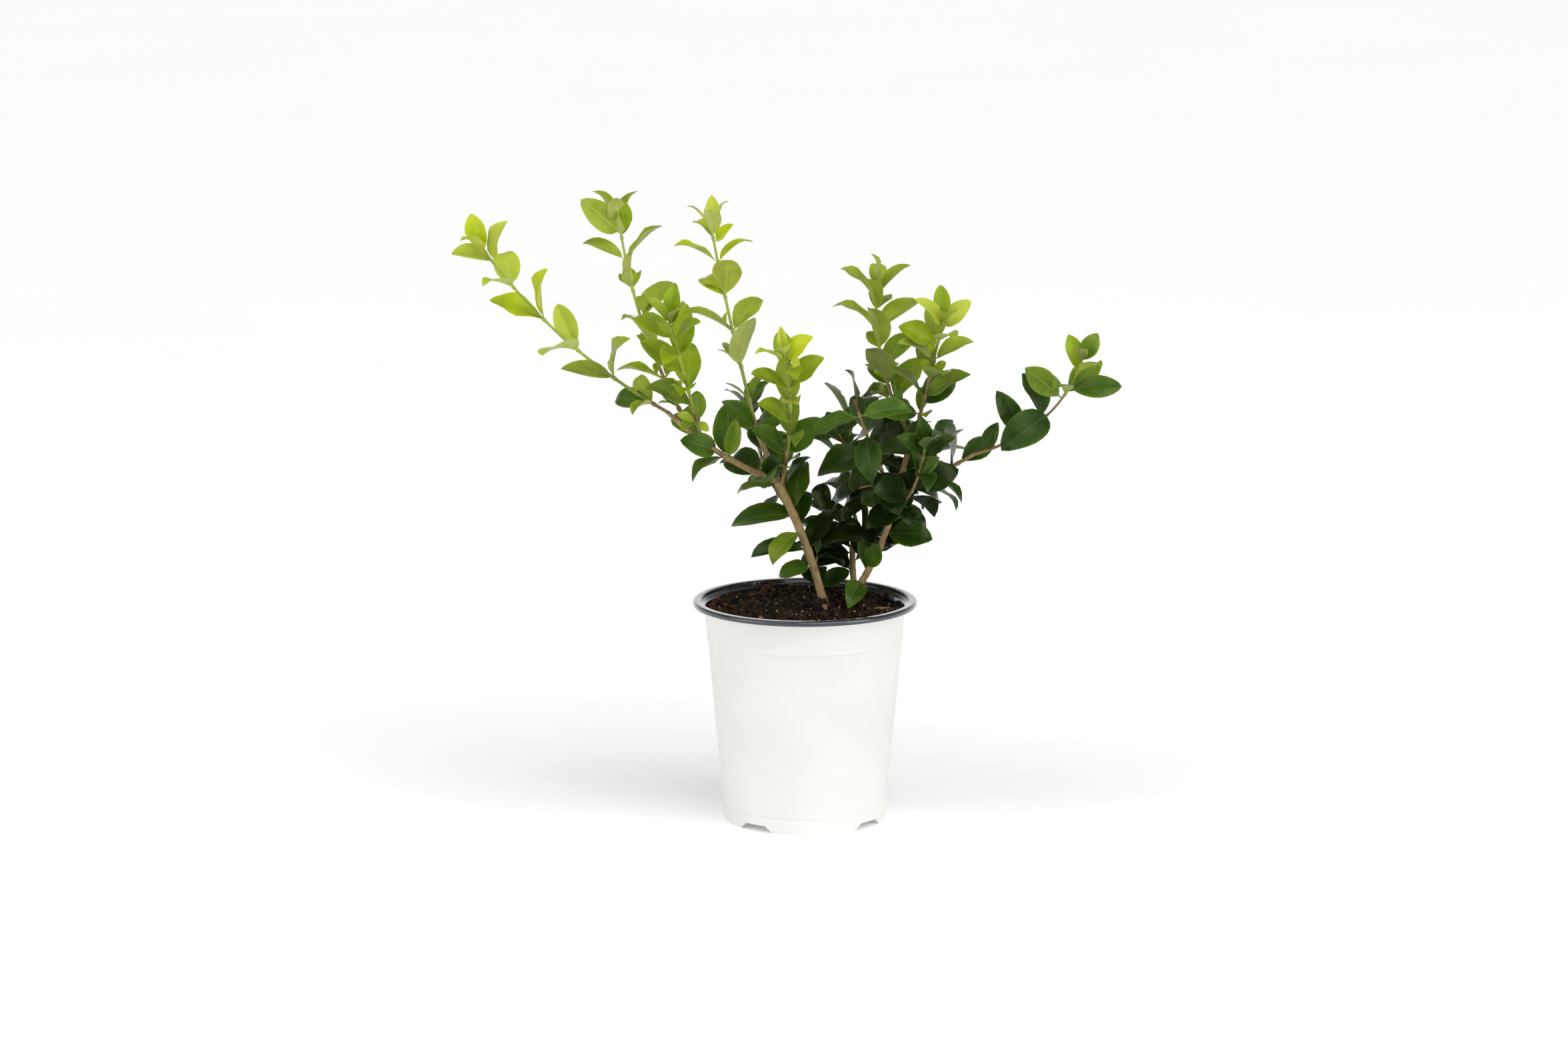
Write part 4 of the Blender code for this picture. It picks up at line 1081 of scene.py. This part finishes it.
# The lumpy top of the soil in millimetres.
def soilTop(x, y):
    s = soilSettings
    spot = Vector((x, y, 0)) * mm
    lumps = noise.noise(spot * s["lumpScale"]) * s["lump"]
    fine = noise.noise(spot * s["fineScale"] + Vector((7, 3, 1))) * s["fine"]
    toBack = x * s["heapWay"][0] + y * s["heapWay"][1]
    share = (toBack - s["heapFrom"]) / (s["heapTo"] - s["heapFrom"])
    heap = s["heap"] * min(1.0, max(0.0, share))
    return soilHeight(x, y) + lumps + fine + heap - s["sunk"]


def soilFinish(name):
    light, dark = [paint(*tone) for tone in soilColours[name]]
    finish, tree, shader = newFinish(name, light, 0.92, {"Specular IOR Level": 0.12})
    clods = spread(tree, spotted(tree, 420.0, 6.0, roughness=0.7), 0.36, 0.66)
    colourBy(tree, shader, clods, dark, light)
    addBump(tree, shader, spotted(tree, 1300.0, 6.0, roughness=0.75), 0.9, 0.0012)
    return finish


def makeSoil():
    s = soilSettings
    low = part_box("soil")[0].z / mm
    inside = soilShape["wallFoot"] - soilShape["wall"] - s["air"]
    slope = soilShape["wallSlope"]
    edge = soilShape["edge"]
    topRadius = inside + slope * edge
    profile = [(0, low), (inside + slope * low - s["footRound"], low),
               (inside + slope * low, low + s["footRound"]), (topRadius, edge - s["brim"])]
    profile += [(topRadius * (1 - index / s["rings"]), edge) for index in range(s["rings"] + 1)]
    bm = bmesh.new()
    line = [bm.verts.new(place(radius, 0, height)) for radius, height in profile]
    edges = [bm.edges.new(pair) for pair in zip(line, line[1:])]
    bmesh.ops.spin(bm, geom=line + edges, cent=(0, 0, 0), axis=(0, 0, 1), dvec=(0, 0, 0),
                   angle=math.tau, steps=s["turns"], use_merge=True)
    bmesh.ops.remove_doubles(bm, verts=bm.verts, dist=0.01 * mm)
    for vert in bm.verts:
        if vert.co.z > (edge - 0.5) * mm:
            vert.co.z = soilTop(vert.co.x / mm, vert.co.y / mm) * mm
    bmesh.ops.recalc_face_normals(bm, faces=bm.faces)
    mesh = meshFrom("soilBed", bm)
    mesh.shade_smooth()
    addPiece("soilBed", mesh, [soilFinish("darkPeat")], ["soil"])


def makeLump(kind, subdivisions, rough):
    bm = bmesh.new()
    bmesh.ops.create_icosphere(bm, subdivisions=subdivisions, radius=1)
    for vert in bm.verts:
        vert.co *= 1 + rough * noise.noise(vert.co * 1.7 + Vector((kind * 5.3, 2, 1)))
    return shapeFrom(bm)


# Coir shows most at the left.
def coirShare(x, y):
    return min(1.0, max(0.04, -(x + 22) / 16 + (y - 8) / 26))


lumpKinds = dict(  # the kinds, their subdivisions and how rough they are
    clods=(range(40, 45), 2, 0.75), crumbs=(range(6), 1, 0.35), chips=(range(20, 24), 1, 0.15),
)
strewn = [  # piece, how many, lumps, sizes, stretch, finish, how far it stands out, where
    ("peatClods", 150, "clods", (1.2, 3.4), (0.5, 1.2), "peatClod", 0.1, None),
    ("peatCrumbs", 6800, "crumbs", (0.3, 1.15), (0.6, 1.3), "peatCrumb", 0.25, None),
    ("coirCrumbs", 520, "crumbs", (0.3, 1.2), (0.6, 1.25), "coirCrumb", 0.35, coirShare),
    ("woodChips", 150, "chips", (0.3, 1.1), (0.35, 1.5), "woodChip", 0.5, None),
    ("perliteGrains", 170, "crumbs", (0.3, 0.75), (0.8, 1.1), "perlite", 0.8, None),
]
marks = [  # the long chip and the upright clod at the right: kind, place, size, turned
    (30, (41, -4, 0.8), (4.0, 1.1, 0.7), 18),
    (43, (44, 22, 2.6), (1.7, 1.4, 3.6), 0),
]


# Many small lumps strewn over the soil, joined into one piece.
def scatter(name, count, kinds, sizes, stretch, finish, sink, where):
    dice = random.Random(name)
    shapes = []
    while len(shapes) < count:
        radius = soilSettings["reach"] * math.sqrt(dice.random())
        angle = dice.uniform(0, math.tau)
        x, y = radius * math.cos(angle), radius * math.sin(angle)
        if where and dice.random() > where(x, y):
            continue
        shape = dict(dice.choice(kinds))
        size = dice.uniform(*sizes) * (0.6 + 0.8 * dice.random() ** 3)  # most are small
        axis = Vector([dice.uniform(-1, 1) for part in range(3)]).normalized()
        turned = Quaternion(axis, dice.uniform(0, math.tau)).to_matrix()
        scale = Matrix.Diagonal([size * dice.uniform(*stretch) for part in range(3)])
        matrix = np.array(turned @ scale)
        shape["points"] = (shape["points"] @ matrix.T + np.array((x, y, soilTop(x, y) + size * sink))) * mm
        shapes.append(shape)
    mesh = joinShapes(name, shapes)
    mesh.shade_smooth()
    addPiece(name, mesh, [finish])


fibreSettings = dict(joints=6, sides=3, reach=0.96, bend=0.5, bendVaries=(0.3, 1.0), step=(0.5, 1.5),
                     lift=(0.2, 0.7), liftEnds=0.3, thick=(0.09, 0.2))


# A bent strand of coir lying on the soil.
def makeFibre(dice):
    s = fibreSettings
    last, sides = s["joints"] - 1, s["sides"]
    radius = soilSettings["reach"] * math.sqrt(dice.random()) * s["reach"]
    angle = dice.uniform(0, math.tau)
    x, y = radius * math.cos(angle), radius * math.sin(angle)
    way = dice.uniform(0, math.tau)
    bend = dice.uniform(-s["bend"], s["bend"])
    step = dice.uniform(*s["step"])
    lift = dice.uniform(*s["lift"])
    thick = dice.uniform(*s["thick"])
    points = []
    for index in range(s["joints"]):
        arc = math.sin(math.pi * index / last)
        points.append(Vector((x, y, soilTop(x, y) + lift * (s["liftEnds"] + arc) + thick)))
        way += bend * dice.uniform(*s["bendVaries"])
        nextX, nextY = x + step * math.cos(way), y + step * math.sin(way)
        if math.hypot(nextX, nextY) < soilSettings["reach"]:
            x, y = nextX, nextY
    corners = []
    for index, point in enumerate(points):
        way = (points[min(index + 1, last)] - points[max(index - 1, 0)]).normalized()
        side = way.cross(Vector((0, 0, 1))).normalized()
        back = way.cross(side)
        for corner in range(sides):
            turn = math.tau * corner / sides
            corners.append((point + (side * math.cos(turn) + back * math.sin(turn)) * thick) * mm)
    end = last * sides
    faces = [[2, 1, 0], [end, end + 1, end + 2]]
    for low in range(0, end, sides):
        faces += [[low + a, low + b, low + sides + b, low + sides + a] for a, b in ((0, 1), (1, 2), (2, 0))]
    return dict(points=np.array(corners), faces=faces, finish=np.zeros(len(faces), dtype=np.int32))


def makeCompost():
    lumps = {name: [makeLump(kind, *rest) for kind in kinds] for name, (kinds, *rest) in lumpKinds.items()}
    finishes = {name: soilFinish(name) for name in soilColours if name != "darkPeat"}
    for name, count, kinds, sizes, stretch, finish, sink, where in strewn:
        scatter(name, count, lumps[kinds], sizes, stretch, finishes[finish], sink, where)
    shapes = []
    for kind, spot, size, turned in marks:
        shape = dict(makeLump(kind, 2, 0.5))
        matrix = np.array(Matrix.Rotation(math.radians(turned), 3, "Z") @ Matrix.Diagonal(size))
        base = np.array((spot[0], spot[1], soilTop(*spot[:2]) + spot[2]))
        shape["points"] = (shape["points"] @ matrix.T + base) * mm
        shape["finish"] = shape["finish"] + len(shapes)
        shapes.append(shape)
    addPiece("chipAndClod", joinShapes("chipAndClod", shapes), [finishes["woodChip"], finishes["peatClod"]])
    dice = random.Random("fibres")
    mesh = joinShapes("coirFibres", [makeFibre(dice) for index in range(soilSettings["fibres"])])
    addPiece("coirFibres", mesh, [finishes["coirStrand"]])


makeSoil()
makeCompost()
print("soil made")


# Pot

potSettings = dict(
    turns=144, height=119.6, foot=43.3, slope=0.0912, wall=1.2, floor=4.2, footWidth=3.0, pad=8.0,
    rim=60.3, rimWidth=4.4, rimDrop=2.8, collar=112.2, collarStand=0.7, bead=99.8, beadStand=0.6,
    groove=8.2, grooveDepth=0.5, feet=4, notchTurn=52, notchHeight=3.7, notchBottom=10.9,
    notchTop=6.4, notchSlack=1.2, drain=4.0, drainPlace=31.0, drainSides=24, sharp=38,
    lipRound=(1.3, 7), innerRound=(0.5, 4), underRound=(0.9, 4), cornerRound=(0.4, 2),  # radius, segments
)


def wallAt(height):
    return potSettings["foot"] + potSettings["slope"] * height


# Rounds the corners of a wire, each group by its own radius in millimetres.
def roundCorners(bm, groups):
    for verts, radius, segments in groups:
        bmesh.ops.bevel(bm, geom=verts, offset=radius * mm, affect="VERTICES", segments=segments,
                        profile=0.5, material=-1, clamp_overlap=True)


def makePot():
    s = potSettings
    rimUnder = s["height"] - s["rimDrop"]
    rimInner = s["rim"] - s["rimWidth"]
    floorTop = s["floor"] + s["wall"]
    corners = [
        (0, 0), (s["pad"], 0), (s["pad"] + 1, s["floor"]), (s["foot"] - s["footWidth"] - 1, s["floor"]),
        (s["foot"] - s["footWidth"], 0), (s["foot"], 0),
        (wallAt(s["groove"] - 1), s["groove"] - 1),
        (wallAt(s["groove"]) - s["grooveDepth"], s["groove"] - 0.3),
        (wallAt(s["groove"]) - s["grooveDepth"], s["groove"] + 0.3),
        (wallAt(s["groove"] + 1), s["groove"] + 1),
        (wallAt(s["bead"] - 0.6), s["bead"] - 0.6), (wallAt(s["bead"]) + s["beadStand"], s["bead"]),
        (wallAt(s["bead"] + 1.4), s["bead"] + 1.4),
        (wallAt(s["collar"]), s["collar"]),
        (wallAt(s["collar"]) + s["collarStand"], s["collar"] + s["collarStand"]),
        (wallAt(rimUnder) + s["collarStand"], rimUnder),
        (s["rim"], rimUnder), (s["rim"], s["height"]), (rimInner, s["height"]), (rimInner, rimUnder + 0.4),
        (wallAt(rimUnder) - s["wall"] + 0.7, rimUnder - 0.6),
        (wallAt(s["collar"]) - s["wall"], s["collar"]),
        (wallAt(floorTop) - s["wall"], floorTop + 1), (wallAt(floorTop) - s["wall"] - 1, floorTop),
        (0, floorTop),
    ]
    bm = bmesh.new()
    line = [bm.verts.new(place(x, 0, z)) for x, z in corners]
    for pair in zip(line, line[1:]):
        bm.edges.new(pair)
    lip = [vert for vert in line if abs(vert.co.z - s["height"] * mm) < 0.01 * mm]
    under = [vert for vert in line if vert.co.x > (s["rim"] - 0.01) * mm and vert not in lip]
    rest = [vert for vert in line[1:-1] if vert not in lip and vert not in under]
    outerLip = [max(lip, key=lambda vert: vert.co.x)]
    innerLip = [vert for vert in lip if vert not in outerLip]
    roundCorners(bm, [(outerLip, *s["lipRound"]), (innerLip, *s["innerRound"]), (under, *s["underRound"]),
                      (rest, *s["cornerRound"])])
    bmesh.ops.spin(bm, geom=bm.verts[:] + bm.edges[:], cent=(0, 0, 0), axis=(0, 0, 1), dvec=(0, 0, 0),
                   angle=math.tau, steps=s["turns"], use_merge=True)
    bmesh.ops.remove_doubles(bm, verts=bm.verts, dist=0.005 * mm)
    bmesh.ops.recalc_face_normals(bm, faces=bm.faces)
    for face in bm.faces:
        middle = face.calc_center_median()
        radius = math.hypot(middle.x, middle.y) / mm
        height = middle.z / mm
        inside = height > floorTop - 0.1 and radius < wallAt(height) - s["wall"] * 0.5
        onLip = height > rimUnder + 0.3 or (height > rimUnder - 1 and face.normal.z > 0.2)
        face.material_index = 1 if inside or onLip else 0
    pot = addPiece("nurseryPot", meshFrom("nurseryPot", bm), [whitePlastic(), blackPlastic()],
                   ["pot"])
    knife = addObject("notchKnife", meshFrom("notchKnife", notchBlocks()))
    cut = pot.modifiers.new("notches", "BOOLEAN")
    cut.operation = "DIFFERENCE"
    cut.solver = "EXACT"
    cut.object = knife
    bpy.context.view_layer.update()
    finished = bpy.data.meshes.new_from_object(pot.evaluated_get(bpy.context.evaluated_depsgraph_get()))
    pot.modifiers.clear()
    pot.data = finished
    bpy.data.objects.remove(knife, do_unlink=True)
    finished.shade_smooth()
    finished.set_sharp_from_angle(angle=math.radians(s["sharp"]))


# Wedge-sided blocks for the gaps between the feet, and round plugs for the drain holes.
def notchBlocks():
    s = potSettings
    bm = bmesh.new()
    for index in range(s["feet"]):
        turn = Matrix.Rotation(math.radians(s["notchTurn"] + index * 360 / s["feet"]), 4, "Z")
        grown = bmesh.ops.create_cube(bm, size=1)["verts"]
        for vert in grown:
            high = vert.co.z > 0
            half = s["notchTop"] if high else s["notchBottom"] + s["notchSlack"]
            vert.co = place(math.copysign(half, vert.co.x), -s["foot"] + math.copysign(10, vert.co.y),
                            s["notchHeight"] if high else -1)
        bmesh.ops.transform(bm, matrix=turn, verts=grown)
        middle = Matrix.Translation(place(0, -s["drainPlace"], s["floor"] + s["wall"] / 2))
        bmesh.ops.create_cone(bm, cap_ends=True, segments=s["drainSides"], radius1=s["drain"] * mm,
                              radius2=s["drain"] * mm, depth=4 * s["wall"] * mm, matrix=turn @ middle)
    return bm


# Thin white plastic: a faint cloudiness, moulding ripples and a satin gloss.
def whitePlastic():
    tones = [paint(217, 218, 214), paint(225, 225, 221)]
    finish, tree, shader = newFinish("whitePlastic", tones[0], 0.45)
    colourBy(tree, shader, spread(tree, spotted(tree, 26.0, 3.0), 0.3, 0.7), *tones)
    ripples = spotted(tree, 70.0, 2.0, (1, 1, 0.25))
    grain = math2(tree, "MULTIPLY", spotted(tree, 1800.0, 2.0), 0.15)
    addBump(tree, shader, math2(tree, "ADD", ripples, grain), 0.12, 0.0006)
    return finish


# The charcoal inner layer, glossier, with fine drawn lines and a little dust.
def blackPlastic():
    tones = [paint(30, 33, 40), paint(84, 86, 90)]
    finish, tree, shader = newFinish("blackPlastic", tones[0], 0.16,
                                     {"Coat Weight": 1.0, "Coat Roughness": 0.04})
    dust = spread(tree, spotted(tree, 240.0, 5.0, roughness=0.7), 0.52, 0.8, 0.0, 0.3)
    colourBy(tree, shader, dust, *tones)
    tree.links.new(spread(tree, dust, 0.0, 0.3, 0.13, 0.4), shader.inputs["Roughness"])
    addBump(tree, shader, spotted(tree, 60.0, 3.0, (0.4, 0.4, 14)), 0.08, 0.0004)
    return finish


makePot()
print("pot made")


# Studio: floor, light and camera

studioSettings = dict(
    cameraPlace=(-0.01124, -2.6, 0.6565), cameraDown=10.78, lens=113.6, sensor=36.0, cameraSees=60,
    floor=14.0, floorGlow=0.14, horizon=1.14, zenith=0.22, horizonFrom=0.17, horizonUpTo=0.4,
    suns=(("keySun", 1.65, (-0.5, 0.6, -1.0)), ("fillSun", 0.85, (0.8, 0.5, -1.0))), sunSpread=62.0,
    boxes=(("keyBox", 6.0, (1.5, -0.9, 0.75)), ("fillBox", 3.5, (-1.5, -0.9, 0.75))),
    boxSize=(0.9, 1.3), boxAim=(0, 0, 0.15),
)


def floorFinish():
    tones = [paint(247, 247, 246), paint(250, 250, 250)]
    finish, tree, shader = newFinish("studioFloor", tones[0], 0.8, {
        "Emission Color": (1, 1, 1, 1), "Emission Strength": studioSettings["floorGlow"]})
    colourBy(tree, shader, spotted(tree, 3.0, 2.0), *tones)
    return finish


def addLight(name, kind, power, way, **settings):
    light = bpy.data.lights.new(name, kind)
    light.energy = power
    for setting, value in settings.items():
        setattr(light, setting, value)
    lightObject = addObject(name, light)
    lightObject.rotation_euler = way.to_track_quat("-Z", "Y").to_euler()
    return lightObject


def makeStudio():
    s = studioSettings
    bm = bmesh.new()
    bmesh.ops.create_grid(bm, x_segments=1, y_segments=1, size=s["floor"])
    floor = addObject("studioFloor", meshFrom("studioFloor", bm))
    floor.data.materials.append(floorFinish())
    sky = bpy.data.worlds.new("studioSky")
    sky.use_nodes = True
    background = sky.node_tree.nodes["Background"]
    background.inputs["Color"].default_value = (1, 1, 1, 1)
    way = addNode(sky.node_tree, "ShaderNodeTexCoord").outputs["Generated"]
    height = addNode(sky.node_tree, "ShaderNodeSeparateXYZ", {0: way}).outputs["Z"]
    glow = spread(sky.node_tree, height, s["horizonFrom"], s["horizonUpTo"], s["horizon"], s["zenith"])
    sky.node_tree.links.new(glow, background.inputs["Strength"])
    bpy.context.scene.world = sky
    for name, power, way in s["suns"]:
        addLight(name, "SUN", power, Vector(way), angle=math.radians(s["sunSpread"]))
    for name, power, spot in s["boxes"]:
        box = addLight(name, "AREA", power, Vector(s["boxAim"]) - Vector(spot), shape="RECTANGLE",
                       size=s["boxSize"][0], size_y=s["boxSize"][1])
        box.location = spot
    camera = bpy.data.cameras.new("photoCamera")
    camera.lens = s["lens"]
    camera.sensor_width = s["sensor"]
    camera.clip_end = s["cameraSees"]
    cameraObject = addObject("photoCamera", camera)
    cameraObject.location = s["cameraPlace"]
    cameraObject.rotation_euler = (math.radians(90 - s["cameraDown"]), 0, 0)
    bpy.context.scene.camera = cameraObject
    bpy.context.scene.view_settings.view_transform = "Standard"


makeStudio()
print("studio made")
